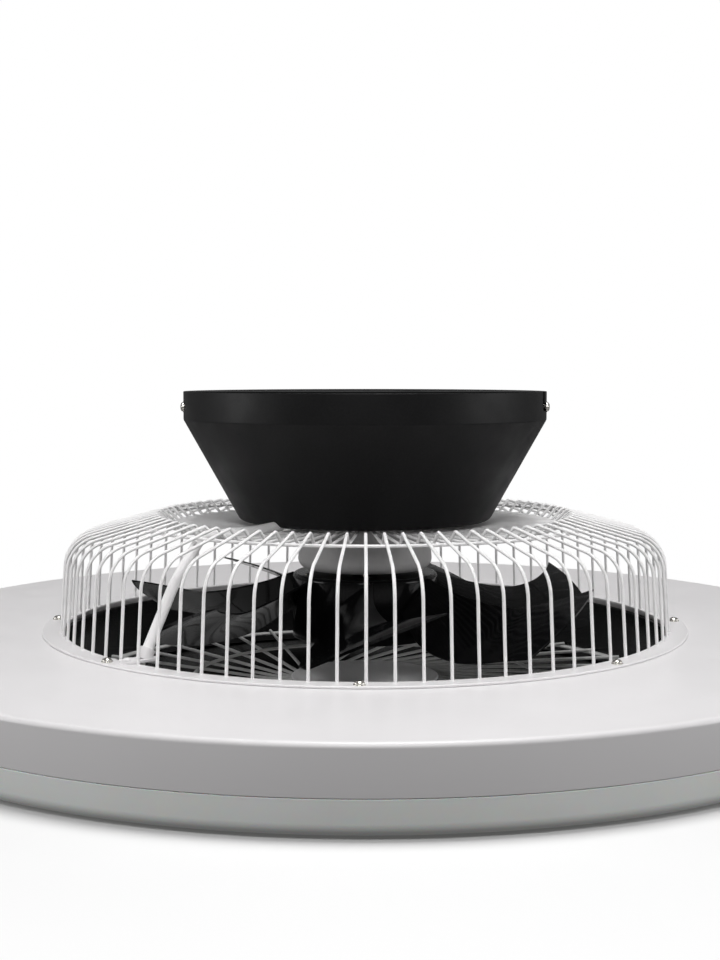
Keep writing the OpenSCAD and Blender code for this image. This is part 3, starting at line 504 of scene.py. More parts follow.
# Moulded nylon of the terminal block, ivory: half matt
def ivoryNylon():
    material = newMaterial("ivoryNylon", "#ded6bd", 0.45)
    mottle(material, 6, ("#d7ceb3", "#e5dec8"))
    relief(material, 0.8, 0.015)
    return material


finishes = {make.__name__: make() for make in (
    blackPowderCoat, whiteDippedWire, whiteSprayPaint, glossBlackAbs, blackDuctPlastic,
    greyCastPaint, nickelPlate, opalAcrylic, paleGrilleCoat, whiteDiscPaint, groundSteel,
    steelLaminations, enamelledCopper, magnetPlate, strawNylon, whiteSolderMask, chipPhosphor,
    whitePvc, whiteBoxPlastic, ivoryNylon)}

# The solids of each finish, also of those that a piece below stands for
solidsOf = {
    "blackPowderCoat": ("ceiling_bracket", "canopy"),
    "ivoryNylon": ("terminal_block",),
    "nickelPlate": ("canopy_side_screws", "motor_screws", "flange_screws", "flange_nuts",
                    "grille_screws", "end_plate_screws", "blade_screws"),
    "whiteBoxPlastic": ("led_driver", "fan_controller"),
    "whiteSprayPaint": ("cage_plate", "cage_flange", "ring_housing", "conduit_foot",
                        "conduit_screw"),
    "whiteDippedWire": ("cage_wires", "cage_ring", "wiring_conduit"),
    "whiteSolderMask": ("led_boards",),
    "chipPhosphor": ("led_chips",),
    "opalAcrylic": ("diffuser",),
    "blackDuctPlastic": ("duct_liner", "hub_nut"),
    "paleGrilleCoat": ("grille_outer_ring", "grille_spokes", "grille_ring"),
    "whiteDiscPaint": ("grille_disc",),
    "whitePvc": ("led_cable", "motor_leads"),
    "greyCastPaint": ("motor_housing", "motor_end_plate"),
    "steelLaminations": ("stator_core", "rotor_core"),
    "enamelledCopper": ("stator_coils",),
    "groundSteel": ("upper_outer_race", "lower_outer_race", "upper_balls", "lower_balls",
                    "motor_shaft", "upper_inner_race", "lower_inner_race", "drive_pin"),
    "strawNylon": ("upper_retainer", "lower_retainer"),
    "magnetPlate": ("rotor_magnets",),
    "glossBlackAbs": ("rotor_hub", *(f"blade_{i}" for i in range(1, 8)))}
for finish, names in solidsOf.items():
    for name in names:
        nodes[name].data.materials.clear()
        nodes[name].data.materials.append(finishes[finish])
print("stage: materials made")


# Wire cage: 80 wires bent over the shoulder, down into the dished floor

ringTop = -155  # height of the lamp ring's top in mm, from the ceiling
cage = {"wires": 80, "wireRadius": 1.0, "foot": (200, 1.2), "shoulder": (196.1, 59),
        "crest": (137, 74.8), "dish": (129, 67), "inner": (46, 67), "bends": (0, 22, 2.5, 3, 0),
        "ringRadius": 151, "weld": (1.5, 1.1, 0.8),
        "flange": (198.4, 212.4, 1.2), "flangeEdge": 0.3, "bead": 0.8}


def cagePath():
    corners = [(r, ringTop + z)
               for r, z in (cage[k] for k in ("foot", "shoulder", "crest", "dish", "inner"))]
    return [(p.x, 0, p.y) for p in rounded(corners, cage["bends"], perTurn=72)]


wires = rod("cageWires", cagePath(), cage["wireRadius"], finishes["whiteDippedWire"], sides=10)
wires = copyRound(wires, finishes["whiteDippedWire"], cage["wires"], front)
handOver(wires, "root", "cage_wires")


# The ring lies under the slope, so its middle is one wire's thickness below the wires' own
def slopeHeight(r):
    (r0, z0), (r1, z1) = cage["shoulder"], cage["crest"]
    return ringTop + z0 + (z1 - z0) * (r0 - r) / (r0 - r1)


def ringHeight():
    (r0, z0), (r1, z1) = cage["shoulder"], cage["crest"]
    upright = math.hypot(1, (z1 - z0) / (r0 - r1))
    return slopeHeight(cage["ringRadius"]) - 2 * cage["wireRadius"] * upright


cageRing = turned("cageRing", circle((cage["ringRadius"], ringHeight()), cage["wireRadius"], 14),
                  finishes["whiteDippedWire"], steps=288)
handOver(cageRing, "root", "cage_ring")


# Spot welds: a low bead where a wire meets the ring and where it stands on the flange
def weldBead(name, place):
    bm = bmesh.new()
    bmesh.ops.create_icosphere(bm, subdivisions=1, radius=1)
    bead = finishMesh(name, bm, finishes["whiteDippedWire"], 180)
    moveMesh(bead, Matrix.Diagonal([mm(v) for v in cage["weld"]]).to_4x4(), shift(*place))
    return copyRound(bead, finishes["whiteDippedWire"], cage["wires"], front, sharp=180)


weldHeight = (slopeHeight(cage["ringRadius"]) + ringHeight()) / 2
welds = joined("weldBeads", [
    weldBead("ringWeld", (cage["ringRadius"], 0, weldHeight)),
    weldBead("footWeld", (cage["foot"][0], 0, ringTop + cage["foot"][1]))],
    finishes["whiteDippedWire"], 180)
handOver(welds, "root")


# Flat seat with a rolled outer edge
def flangeOutline():
    inner, outer, sheet = cage["flange"]
    bead = cage["bead"]
    top, middle = ringTop + sheet, outer - bead
    lip = [p for p in circle((middle, ringTop + bead), bead, 24) if p.y < top or p.x > middle]
    lip = sorted(lip, key=lambda p: -math.atan2(p.y - ringTop - bead, p.x - outer + bead + 1e-6))
    lip = [p for p in lip if not (p.x < middle and p.y < top)]
    flat = rounded([(inner, ringTop), (inner, top), (middle, top)], [0, cage["flangeEdge"], 0])
    return flat[:-1] + [Vector((outer - 2 * bead + 0.05, top))] + lip


flange = turned("cageFlange", flangeOutline(), finishes["whiteSprayPaint"], steps=288)
handOver(flange, "root", "cage_flange")
print("stage: cage")


# Screws: pan heads with a cross recess, most with a washer under the head

# Shares of the head's radius and height, and bends in mm
screws = {"steps": 36, "crossArm": 0.62, "crossWidth": 0.2, "crossDepth": 0.5,
          "rim": 0.45, "rimBend": 0.6, "dome": 0.6, "domeBend": 0.5, "domeDrop": 0.12,
          "tipBend": 0.25, "edgeBend": 0.1, "washerBends": (0.1, 0.15, 0.05)}


def screw(name, headRadius, headHigh, core, length, washer=0.0, finish="nickelPlate"):
    rim = headHigh * screws["rim"]
    corners = [(0, -length), (core, -length), (core, 0)]
    radii = [0, screws["tipBend"], screws["edgeBend"]]
    if washer:
        corners += [(headRadius + washer, 0), (headRadius + washer, washer), (headRadius, washer)]
        radii += screws["washerBends"]
    else:
        corners += [(headRadius, 0)]
        radii += [screws["edgeBend"]]
    top = washer + headHigh
    corners += [(headRadius, washer + rim),
                (headRadius * screws["dome"], top - screws["domeDrop"]), (0, top)]
    radii += [rim * screws["rimBend"], headRadius * screws["domeBend"], 0]
    head = turned(name, rounded(corners, radii, perTurn=28), finishes[finish], screws["steps"])
    arm, wide = headRadius * screws["crossArm"], headRadius * screws["crossWidth"] / 2
    plus = [(arm, wide), (wide, wide), (wide, arm), (-wide, arm), (-wide, wide), (-arm, wide),
            (-arm, -wide), (-wide, -wide), (-wide, -arm), (wide, -arm), (wide, -wide), (arm, -wide)]
    tool = slab("crossTool", plus, headHigh, finishes["nickelPlate"])
    moveMesh(tool, shift(0, 0, top - headHigh * screws["crossDepth"]))
    return cutOut(head, tool, 32)


flangeScrew = {"head": 2.9, "high": 2.0, "core": 1.5, "length": 8.4, "washer": 0.6,
               "count": 8, "circle": 207, "firstTurn": -91, "crossTurn": 20}
ringScrews = screw("flangeScrews", flangeScrew["head"], flangeScrew["high"], flangeScrew["core"],
                   flangeScrew["length"], flangeScrew["washer"])
moveMesh(ringScrews, turnBy(flangeScrew["crossTurn"]),
         shift(flangeScrew["circle"], 0, ringTop + cage["flange"][2]))
ringScrews = copyRound(ringScrews, finishes["nickelPlate"], flangeScrew["count"],
                       flangeScrew["firstTurn"], sharp=32)
handOver(ringScrews, "root", "flange_screws")
print("stage: flange screws")


# Canopy: spun steel cone with an upright band and two bayonet slots for its side screws

canopy = {"radius": 120, "band": 18.5, "cone": 83, "high": 85, "sheet": 1.2, "hole": 22,
          "bends": (0.4, 2.5, 5, 0.3, 0.3, 3.8, 2, 0.4),
          "screwDown": 10, "screwTurn": 79, "crossTurn": 25,
          "slot": 5, "entry": 8, "entryTurn": 6, "slotIn": 3.5, "slotDeep": 6, "slotPast": 2,
          "head": 2.9, "headHigh": 1.6, "core": 1.9, "length": 7.5, "washer": 0.6}


def canopyOutline():
    r, band, foot, high, sheet = (canopy[k] for k in ("radius", "band", "cone", "high", "sheet"))
    lean = math.atan2(r - foot, high - band)
    innerBand = -band + sheet * math.tan(lean / 2)
    innerFoot = r - sheet - (high - sheet + innerBand) * math.tan(lean)
    corners = [(r, 0), (r, -band), (foot, -high), (canopy["hole"], -high),
               (canopy["hole"], sheet - high), (innerFoot, sheet - high),
               (r - sheet, innerBand), (r - sheet, 0)]
    return rounded(corners, canopy["bends"], closed=True, perTurn=64)


# Narrow slot that a screw slides along, with a wide entry that runs out at the canopy's top edge
def slotTool(side):
    half, entry = canopy["slot"] / 2, canopy["entry"] / 2
    way = -canopy["radius"] * math.radians(canopy["entryTurn"])
    pastTop = canopy["screwDown"] + canopy["slotPast"]
    outline = arc(0, half, -90, 90)
    outline += [(way + entry, half), (way + entry, pastTop), (way - entry, pastTop),
                (way - entry, 0), (way - half, 0)]
    outline += arc(way, half, 195, 270)
    tool = slab("slotTool", outline, canopy["slotDeep"], finishes["blackPowderCoat"])
    outward = Matrix(((0, 0, 1, 0), (1, 0, 0, 0), (0, 1, 0, 0), (0, 0, 0, 1)))
    return moveMesh(tool, outward,
                    shift(canopy["radius"] - canopy["slotIn"], 0, -canopy["screwDown"]),
                    turnBy(side * canopy["screwTurn"] + front))


conduit = {"radius": 3.3, "wall": 0.9, "turn": -132.75, "clear": 0.3, "holeRun": (14, 10),
           "corners": ((189.5, 1.6), (165.5, 44), (144.5, 69.5), (100, 69.5), (78, 70.9)),
           "bends": (0, 60, 12, 12, 0)}


def conduitPath():
    return rounded([(r, ringTop + z) for r, z in conduit["corners"]], conduit["bends"], perTurn=96)


def conduitHoleTool():
    last, end = conduitPath()[-2:]
    way = (end - last).normalized()
    before, after = conduit["holeRun"]
    ends = [end - before * way, end + after * way]
    tool = rod("holeTool", [(p.x, 0, p.y) for p in ends], conduit["radius"] + conduit["clear"],
               finishes["blackPowderCoat"], sides=32)
    return moveMesh(tool, turnBy(conduit["turn"]))


shell = turned("canopyShell", canopyOutline(), finishes["blackPowderCoat"])
for tool in (slotTool(-1), slotTool(1), conduitHoleTool()):
    shell = cutOut(shell, tool)
handOver(shell, "root", "canopy")

sideScrews = []
for side in (-1, 1):
    one = screw(f"sideScrew{side + 2}", canopy["head"], canopy["headHigh"], canopy["core"],
                canopy["length"], canopy["washer"])
    moveMesh(one, turnBy(canopy["crossTurn"] * side), turnBy(90, "Y"),
             shift(canopy["radius"], 0, -canopy["screwDown"]),
             turnBy(side * canopy["screwTurn"] + front))
    sideScrews.append(one)
sideScrews = joined("canopySideScrews", sideScrews, finishes["nickelPlate"], 32)
handOver(sideScrews, "root", "canopy_side_screws")
print("stage: canopy")


# Wiring conduit inside the cage, with its foot on the flange

# A tube with open ends along a path in the upright plane, in mm
def pipe(name, path, outer, inner, material, sides=24):
    bm = bmesh.new()
    rows = []
    for i, point in enumerate(path):
        along = (path[min(i + 1, len(path) - 1)] - path[max(i - 1, 0)]).normalized()
        across = Vector((-along.y, along.x))
        for radius in (outer, inner):
            rows.append([bm.verts.new((mm(point.x + radius * math.cos(a) * across.x),
                                       mm(radius * math.sin(a)),
                                       mm(point.y + radius * math.cos(a) * across.y)))
                         for a in (2 * math.pi * k / sides for k in range(sides))])
    pairs = [(i, i + 2) for i in range(len(rows) - 2)] + [(0, 1), (len(rows) - 2, len(rows) - 1)]
    for a, b in pairs:
        for k in range(sides):
            bm.faces.new((rows[a][k - 1], rows[a][k], rows[b][k], rows[b][k - 1]))
    return finishMesh(name, bm, material)


tube = pipe("wiringConduit", conduitPath(), conduit["radius"], conduit["radius"] - conduit["wall"],
            finishes["whiteDippedWire"])
handOver(moveMesh(tube, turnBy(conduit["turn"])), "root", "wiring_conduit")

foot = {"inner": 181.5, "outer": 204.8, "wide": 11, "sheet": 1.5, "bends": (4, 3.2, 3.2, 4),
        "sleeve": 4.6, "sleeveHigh": 7, "sleeveBends": (0.2, 0.4, 0.5, 0.2),
        "bore": 3.4, "boreRun": (8, 12),
        "screwAt": 201.6, "head": 2.6, "headHigh": 1.8, "core": 1.5, "screwLength": 2.6}


def conduitFoot():
    (r0, z0), (r1, z1) = conduit["corners"][:2]
    tilt = math.degrees(math.atan2(r1 - r0, z1 - z0))
    corners = [(foot["inner"], -foot["wide"] / 2), (foot["outer"], -foot["wide"] / 2),
               (foot["outer"], foot["wide"] / 2), (foot["inner"], foot["wide"] / 2)]
    tab = slab("conduitFoot", rounded(corners, foot["bends"], closed=True), foot["sheet"],
               finishes["whiteSprayPaint"])
    moveMesh(tab, shift(0, 0, ringTop + cage["flange"][2]))
    way = Vector((r1 - r0, z1 - z0)).normalized()
    below, above = foot["boreRun"]
    ends = [Vector((r0, z0)) - below * way, Vector((r0, z0)) + above * way]
    tab = cutOut(tab, rod("boreTool", [(p.x, 0, ringTop + p.y) for p in ends], foot["bore"],
                          finishes["whiteSprayPaint"], sides=32))
    ring = rounded([(foot["bore"], 0), (foot["sleeve"], 0), (foot["sleeve"], foot["sleeveHigh"]),
                    (foot["bore"], foot["sleeveHigh"])], foot["sleeveBends"], closed=True)
    sleeve = turned("footSleeve", ring, finishes["whiteSprayPaint"], 40)
    moveMesh(sleeve, turnBy(tilt, "Y"), shift(r0, 0, ringTop + z0))
    return joined("conduitFoot", [tab, sleeve], finishes["whiteSprayPaint"])


handOver(moveMesh(conduitFoot(), turnBy(conduit["turn"])), "root", "conduit_foot")
footScrew = screw("conduitScrew", foot["head"], foot["headHigh"], foot["core"], foot["screwLength"],
                  finish="whiteSprayPaint")
moveMesh(footScrew, shift(foot["screwAt"], 0, ringTop + cage["flange"][2] + foot["sheet"]),
         turnBy(conduit["turn"]))
handOver(footScrew, "root", "conduit_screw")
print("stage: conduit")


# Lamp ring: folded sheet housing with a turned-down lip

ring = {"outer": 325, "inner": 202, "wall": 26, "lip": 4, "sheet": 1.2,
        "bends": (1, 3, 0.3, 0.3, 1.8, 0.3, 0.4, 0.4)}


def ringOutline():
    outer, inner, sheet = ring["outer"], ring["inner"], ring["sheet"]
    low, lip = ringTop - ring["wall"], ringTop - ring["lip"]
    corners = [(inner, ringTop), (outer, ringTop), (outer, low), (outer - sheet, low),
               (outer - sheet, ringTop - sheet), (inner + sheet, ringTop - sheet),
               (inner + sheet, lip), (inner, lip)]
    return rounded(corners, ring["bends"], closed=True)


housing = turned("ringHousing", ringOutline(), finishes["whiteSprayPaint"], steps=288)
handOver(housing, "root", "ring_housing")


# Duct liner

duct = {"inner": 200, "outer": 202, "low": 46, "flange": 1.2, "flangeWidth": 10, "footWidth": 6,
        "ledge": 192, "ledgeAt": 40.9, "ledgeSheet": 1.5,
        "bends": (0.8, 0.3, 0.3, 0.5, 0.5, 0.3, 0.3, 0.6, 0.5, 0.3, 0.3, 0.5)}


def ductOutline():
    top, low = ringTop - ring["lip"], ringTop - duct["low"]
    ledge = ringTop - duct["ledgeAt"]
    inner, outer, sheet = duct["inner"], duct["outer"], duct["flange"]
    flangeOut, footOut = outer + duct["flangeWidth"], outer + duct["footWidth"]
    underLedge = ledge - duct["ledgeSheet"]
    corners = [(inner, top), (flangeOut, top), (flangeOut, top - sheet), (outer, top - sheet),
               (outer, low + sheet), (footOut, low + sheet), (footOut, low), (inner, low),
               (inner, underLedge), (duct["ledge"], underLedge), (duct["ledge"], ledge),
               (inner, ledge)]
    return rounded(corners, duct["bends"], closed=True)


liner = turned("ductLiner", ductOutline(), finishes["blackDuctPlastic"], steps=288)
handOver(liner, "root", "duct_liner")
print("stage: ring and duct")


# Diffuser: opal tray under the ring

diffuser = {"inner": 202.3, "outer": 324.8, "low": 44.8, "top": 26.3, "sheet": 2,
            "rim": (322, 323.5, 4), "bends": (0.4, 7, 0.5, 0.2, 0.3, 0.3, 5, 0.4)}


def diffuserOutline():
    inner, outer, sheet = diffuser["inner"], diffuser["outer"], diffuser["sheet"]
    low, top = ringTop - diffuser["low"], ringTop - diffuser["top"]
    rimIn, rimOut, rimHigh = diffuser["rim"]
    corners = [(inner, low), (outer, low), (outer, top), (rimOut, top), (rimOut, top + rimHigh),
               (rimIn, top + rimHigh), (outer - sheet, low + sheet), (inner, low + sheet)]
    return rounded(corners, diffuser["bends"], closed=True)


tray = turned("diffuserTray", diffuserOutline(), finishes["opalAcrylic"], steps=288)
handOver(tray, "root", "diffuser")


# Bottom grille: skewed spokes between a centre disc and an outer ring, a wire ring on top

grille = {"spokes": 40, "firstTurn": 3, "wire": 1.1, "down": 38.3, "skew": 35, "inner": 43.5,
          "outer": 198.7, "ring": 115.6, "ringGap": 0.02,
          "disc": 49.5, "discSheet": 1.6, "discBends": (0, 0.75, 0.8, 0.6),
          "crown": 1.4, "domeSteps": 8, "domeFall": 0.55, "stepAt": 37, "stepWide": 1.2,
          "stepHigh": 0.12, "rim": (193.7, 199.7), "rimSheet": 1.5, "rimBends": (0.5, 0.4, 0.4, 0.5)}
paleCoat = finishes["paleGrilleCoat"]
spokeLevel = ringTop - grille["down"]


def spokeEnd(r):
    return (math.sqrt(r * r - grille["skew"] ** 2), grille["skew"], spokeLevel)


spokes = rod("grilleSpokes", [spokeEnd(grille["inner"]), spokeEnd(grille["outer"])],
             grille["wire"], paleCoat)
handOver(copyRound(spokes, paleCoat, grille["spokes"], grille["firstTurn"]), "root", "grille_spokes")
ringMiddle = (grille["ring"], spokeLevel + 2 * grille["wire"] + grille["ringGap"])
wireRing = turned("grilleRing", circle(ringMiddle, grille["wire"], 12), paleCoat, steps=200)
handOver(wireRing, "root", "grille_ring")


# Pressed disc: low dome inside a faint step, with a turned rim
def discOutline():
    low, r, crown = spokeLevel + grille["wire"], grille["disc"], grille["crown"]
    top, steps = low + grille["discSheet"], grille["domeSteps"]
    dome = [(grille["stepAt"] * k / steps, top + crown * (1 - (k / steps) ** 2 * grille["domeFall"]))
            for k in range(steps + 1)]
    stepFoot = (grille["stepAt"] + grille["stepWide"], top + crown * grille["stepHigh"])
    return (rounded([(0, low), (r, low), (r, top), stepFoot], grille["discBends"])
            + [Vector(p) for p in dome[::-1]])


handOver(turned("grilleDisc", discOutline(), finishes["whiteDiscPaint"], steps=144, sharp=60), "root",
         "grille_disc")


def rimOutline():
    inner, outer = grille["rim"]
    top = spokeLevel - grille["wire"]
    low = top - grille["rimSheet"]
    return rounded([(inner, top), (outer, top), (outer, low), (inner, low)], grille["rimBends"],
                   closed=True)


handOver(turned("grilleRim", rimOutline(), paleCoat, steps=288), "root", "grille_outer_ring")
print("stage: diffuser and grille")


# Motor housing: turned cup, painted, with its seat pad on top

motor = {"seat": -87, "top": -89.3, "pad": 34, "topRadius": 43, "radius": 44.7, "low": -118,
         "corner": 7, "cornerSteps": 14, "roof": 2.5, "bore": 36.4, "plateBore": 40.3,
         "plateTop": -114.9, "bearing": 11, "boss": 14, "bearingHigh": 7,
         "outerBends": (0, 0.6, 0.5, 1.5, 0), "innerBends": (0, 0.2, 0.3, 0.5, 0.5, 0.4, 0.3, 0.2, 0)}


# The large lower rounding runs in until it meets the end plate's bore
def lowerEdge():
    corner, steps = motor["corner"], motor["cornerSteps"]
    middle = motor["radius"] - corner
    last = math.acos((motor["plateBore"] - middle) / corner)
    return [Vector((middle + corner * math.cos(a), motor["low"] + corner * (1 - math.sin(a))))
            for a in (last * k / steps for k in range(steps + 1))]


def motorOutline():
    roof = motor["top"] - motor["roof"]
    boss = roof - motor["bearingHigh"]
    outside = [(0, motor["seat"]), (motor["pad"], motor["seat"]), (motor["pad"], motor["top"]),
               (motor["topRadius"], motor["top"]), (motor["radius"], motor["low"] + motor["corner"])]
    edge = lowerEdge()
    inside = [edge[-1], (motor["plateBore"], motor["plateTop"]), (motor["bore"], motor["plateTop"]),
              (motor["bore"], roof), (motor["boss"], roof), (motor["boss"], boss),
              (motor["bearing"], boss), (motor["bearing"], roof), (0, roof)]
    return (rounded(outside, motor["outerBends"], perTurn=64) + edge[1:-1]
            + rounded(inside, motor["innerBends"], perTurn=64))


handOver(turned("motorHousing", motorOutline(), finishes["greyCastPaint"], steps=192),
         "root", "motor_housing")


# Rotor hub: moulded cup, open below, ribs between its boss and wall

rotor = {"blades": 7, "turn": 120.7, "ribsBehind": 27}  # turns in degrees, from the front
hub = {"radius": 48.5, "top": -120.5, "high": 42.5, "wall": 2.5, "roof": 3,
       "boss": 10, "bossHigh": 34, "bore": 4.05, "bends": (0.4, 3, 0.6, 0.6, 1.5, 1.5, 0.6, 0.4),
       "rib": 2, "ribShort": 1, "ribSunk": 0.5}


def hubOutline():
    top, low, r = hub["top"], hub["top"] - hub["high"], hub["radius"]
    bossLow = top - hub["bossHigh"]
    corners = [(hub["bore"], top), (r, top), (r, low), (r - hub["wall"], low),
               (r - hub["wall"], top - hub["roof"]), (hub["boss"], top - hub["roof"]),
               (hub["boss"], bossLow), (hub["bore"], bossLow)]
    return rounded(corners, hub["bends"], closed=True, perTurn=64)


def hubRibs():
    inner, outer = hub["boss"] - hub["ribSunk"], hub["radius"] - hub["wall"] + hub["ribSunk"]
    half = hub["rib"] / 2
    corners = [(inner, -half), (outer, -half), (outer, half), (inner, half)]
    rib = slab("hubRib", corners, hub["bossHigh"] - hub["ribShort"], finishes["glossBlackAbs"])
    moveMesh(rib, shift(0, 0, hub["top"] - hub["bossHigh"]))
    turn = rotor["turn"] + front - rotor["ribsBehind"] + 180 / rotor["blades"]
    return copyRound(rib, finishes["glossBlackAbs"], rotor["blades"], turn)


cup = turned("hubCup", hubOutline(), finishes["glossBlackAbs"], steps=192)
handOver(joined("rotorHub", [cup, hubRibs()], finishes["glossBlackAbs"]), "rotor", "rotor_hub")
print("stage: motor and hub")


# Rotor blades

# Turns and heights of both edges are given at shares of the blade's length
blades = {"root": 48.55, "tip": 155, "rows": 48, "columns": 20,
          "at": (0, 0.25, 0.55, 0.72, 0.88, 1),
          "leadTurn": (-12, -13.5, -11, -9.5, -5, 0), "leadHigh": (33, 24, 18.5, 21, 26, 30),
          "trailTurn": (-42, -43, -39.5, -36, -33, -30.5), "trailHigh": (14, -3, -9, -7.5, -4, -2),
          "thick": 2.4, "edge": 0.45, "rootThick": 1.25, "tipThinner": 0.4, "camber": 0.02,
          "soften": (0.35, 3, 50)}


# Smooth curve through the values given at those shares
def smoothAt(values, t):
    at = blades["at"]
    i = next(k for k in range(len(at) - 1) if t <= at[k + 1] or k == len(at) - 2)
    h = at[i + 1] - at[i]
    s = (t - at[i]) / h
    slope = [(values[1] - values[0]) / (at[1] - at[0])]
    slope += [(values[k + 1] - values[k - 1]) / (at[k + 1] - at[k - 1])
              for k in range(1, len(at) - 1)]
    slope += [(values[-1] - values[-2]) / (at[-1] - at[-2])]
    return ((1 + 2 * s) * (1 - s) ** 2 * values[i] + s * (1 - s) ** 2 * h * slope[i]
            + s * s * (3 - 2 * s) * values[i + 1] + s * s * (s - 1) * h * slope[i + 1])


# Point on the blade's middle surface: s along it, c from leading to trailing edge
def bladePoint(s, c):
    radius = blades["root"] + s * (blades["tip"] - blades["root"])
    a, b = smoothAt(blades["leadTurn"], s), smoothAt(blades["trailTurn"], s)
    high, low = smoothAt(blades["leadHigh"], s), smoothAt(blades["trailHigh"], s)
    chord = math.hypot(high - low, radius * math.radians(a - b))
    angle = math.radians(a + (b - a) * c)
    height = ringTop + high + (low - high) * c + blades["camber"] * chord * 4 * c * (1 - c)
    return Vector((radius * math.cos(angle), radius * math.sin(angle), height))


def bladeNormal(s, c):
    d = 0.01
    s0, s1, c0, c1 = max(0, s - d), min(1, s + d), max(0, c - d), min(1, c + d)
    along = bladePoint(s1, c) - bladePoint(s0, c)
    across = bladePoint(s, c1) - bladePoint(s, c0)
    return along.cross(across).normalized()


# Two skins that close in a rounded edge all the way round
def bladeMesh(name, turn):
    bm = bmesh.new()
    rows, columns = blades["rows"], blades["columns"]
    skins = {}
    for side in (1, -1):
        for i in range(rows + 1):
            for j in range(columns + 1):
                s, c = i / rows, (1 - math.cos(math.pi * j / columns)) / 2
                point, normal = bladePoint(s, c), bladeNormal(s, c)
                swell = blades["edge"] + (1 - blades["edge"]) * 4 * c * (1 - c)
                taper = blades["rootThick"] - blades["tipThinner"] * s
                half = blades["thick"] / 2 * swell * taper
                if i == 0:  # the root follows the hub's wall
                    outward = Vector((point.x, point.y, 0)).normalized()
                    normal = (normal - outward * normal.dot(outward)).normalized()
                skins[side, i, j] = bm.verts.new(mm(point + normal * side * half))
    for side in (1, -1):
        for i in range(rows):
            for j in range(columns):
                bm.faces.new([skins[side, i + a, j + b] for a, b in ((0, 0), (1, 0), (1, 1), (0, 1))])
    rim = [(0, j) for j in range(columns + 1)] + [(i, columns) for i in range(1, rows + 1)]
    rim += [(rows, j) for j in range(columns - 1, -1, -1)] + [(i, 0) for i in range(rows - 1, 0, -1)]
    for k, here in enumerate(rim):
        there = rim[(k + 1) % len(rim)]
        bm.faces.new((skins[1, *here], skins[1, *there], skins[-1, *there], skins[-1, *here]))
    bmesh.ops.rotate(bm, verts=bm.verts, matrix=Matrix.Rotation(math.radians(turn), 3, "Z"))
    piece = finishMesh(name, bm, finishes["glossBlackAbs"])
    width, segments, limit = blades["soften"]
    soften = piece.modifiers.new("soften", "BEVEL")
    soften.width, soften.segments, soften.limit_method = mm(width), segments, "ANGLE"
    soften.angle_limit = math.radians(limit)
    return piece


for i in range(rotor["blades"]):
    blade = bladeMesh(f"fanBlade{i + 1}", rotor["turn"] + front + i * 360 / rotor["blades"])
    handOver(blade, "rotor", f"blade_{i + 1}")
print("stage: blades")


# Camera, light and floor

camera = {"place": (-0.0033, -0.984, 0.0126), "tilt": 85.82, "lens": 55.4, "sensor": 36,
          "nearest": 0.05}
eye = bpy.data.cameras.new("camera")
eye.lens, eye.sensor_width, eye.clip_start = camera["lens"], camera["sensor"], camera["nearest"]
eyeObject = bpy.data.objects.new("camera", eye)
eyeObject.location = camera["place"]
eyeObject.rotation_euler = (math.radians(camera["tilt"]), 0, 0)
bpy.context.scene.collection.objects.link(eyeObject)
bpy.context.scene.camera = eyeObject

lamps = {  # place, what it looks at, size in m, power in W
    "topSoftbox": ((0.1, -0.15, 1.6), (0, 0, -0.15), 0.7, 22),
    "leftSoftbox": ((-2.0, -0.35, 0.32), (0, 0, -0.05), 0.8, 12.5),
    "rightSoftbox": ((2.0, -0.35, 0.32), (0, 0, -0.05), 0.8, 11.5),
    "frontFill": ((0, -0.95, 0.55), (0, -0.03, -0.19), 0.3, 3.2)}
for name, (place, target, size, power) in lamps.items():
    lamp = bpy.data.lights.new(name, "AREA")
    lamp.shape, lamp.size, lamp.energy = "SQUARE", size, power
    lampObject = bpy.data.objects.new(name, lamp)
    lampObject.location = place
    lampObject.rotation_euler = (Vector(target) - Vector(place)).to_track_quat("-Z", "Y").to_euler()
    bpy.context.scene.collection.objects.link(lampObject)

studio = {"level": 0.12, "mirrored": 0.1, "floorAt": -0.2015, "floorSize": 6,
          "whiteFrom": 0.36, "whiteAt": 0.6, "underFan": 0.22, "besideFan": 0.32,
          "shadeReach": 0.35, "shadeDepth": 3.0, "paintedShadeTone": "#050505", "paleTone": "#ededed"}
world = bpy.data.worlds.new("studio")
bpy.context.scene.world = world
world.use_nodes = True
tree = world.node_tree
tree.nodes.clear()
ray = addNode(tree, "ShaderNodeLightPath")
room = addNode(tree, "ShaderNodeBackground", {"Color": (1, 1, 1, 1), "Strength": studio["level"]})
white = addNode(tree, "ShaderNodeBackground", {"Color": (1, 1, 1, 1), "Strength": 1})
# The white is seen by the camera and through clear pieces, and in part by what mirrors it
mirrored = addNode(tree, "ShaderNodeMath", {"operation": "MULTIPLY", 1: studio["mirrored"]},
                   {0: ray.outputs["Is Glossy Ray"]})
direct = addNode(tree, "ShaderNodeMath", {"operation": "MAXIMUM"},
                 {0: ray.outputs["Is Camera Ray"], 1: ray.outputs["Is Transmission Ray"]})
share = addNode(tree, "ShaderNodeMath", {"operation": "MAXIMUM"},
                {0: mirrored.outputs[0], 1: direct.outputs[0]})
mix = addNode(tree, "ShaderNodeMixShader", None,
              {0: share.outputs[0], 1: room.outputs[0], 2: white.outputs[0]})
addNode(tree, "ShaderNodeOutputWorld", None, {0: mix.outputs[0]})
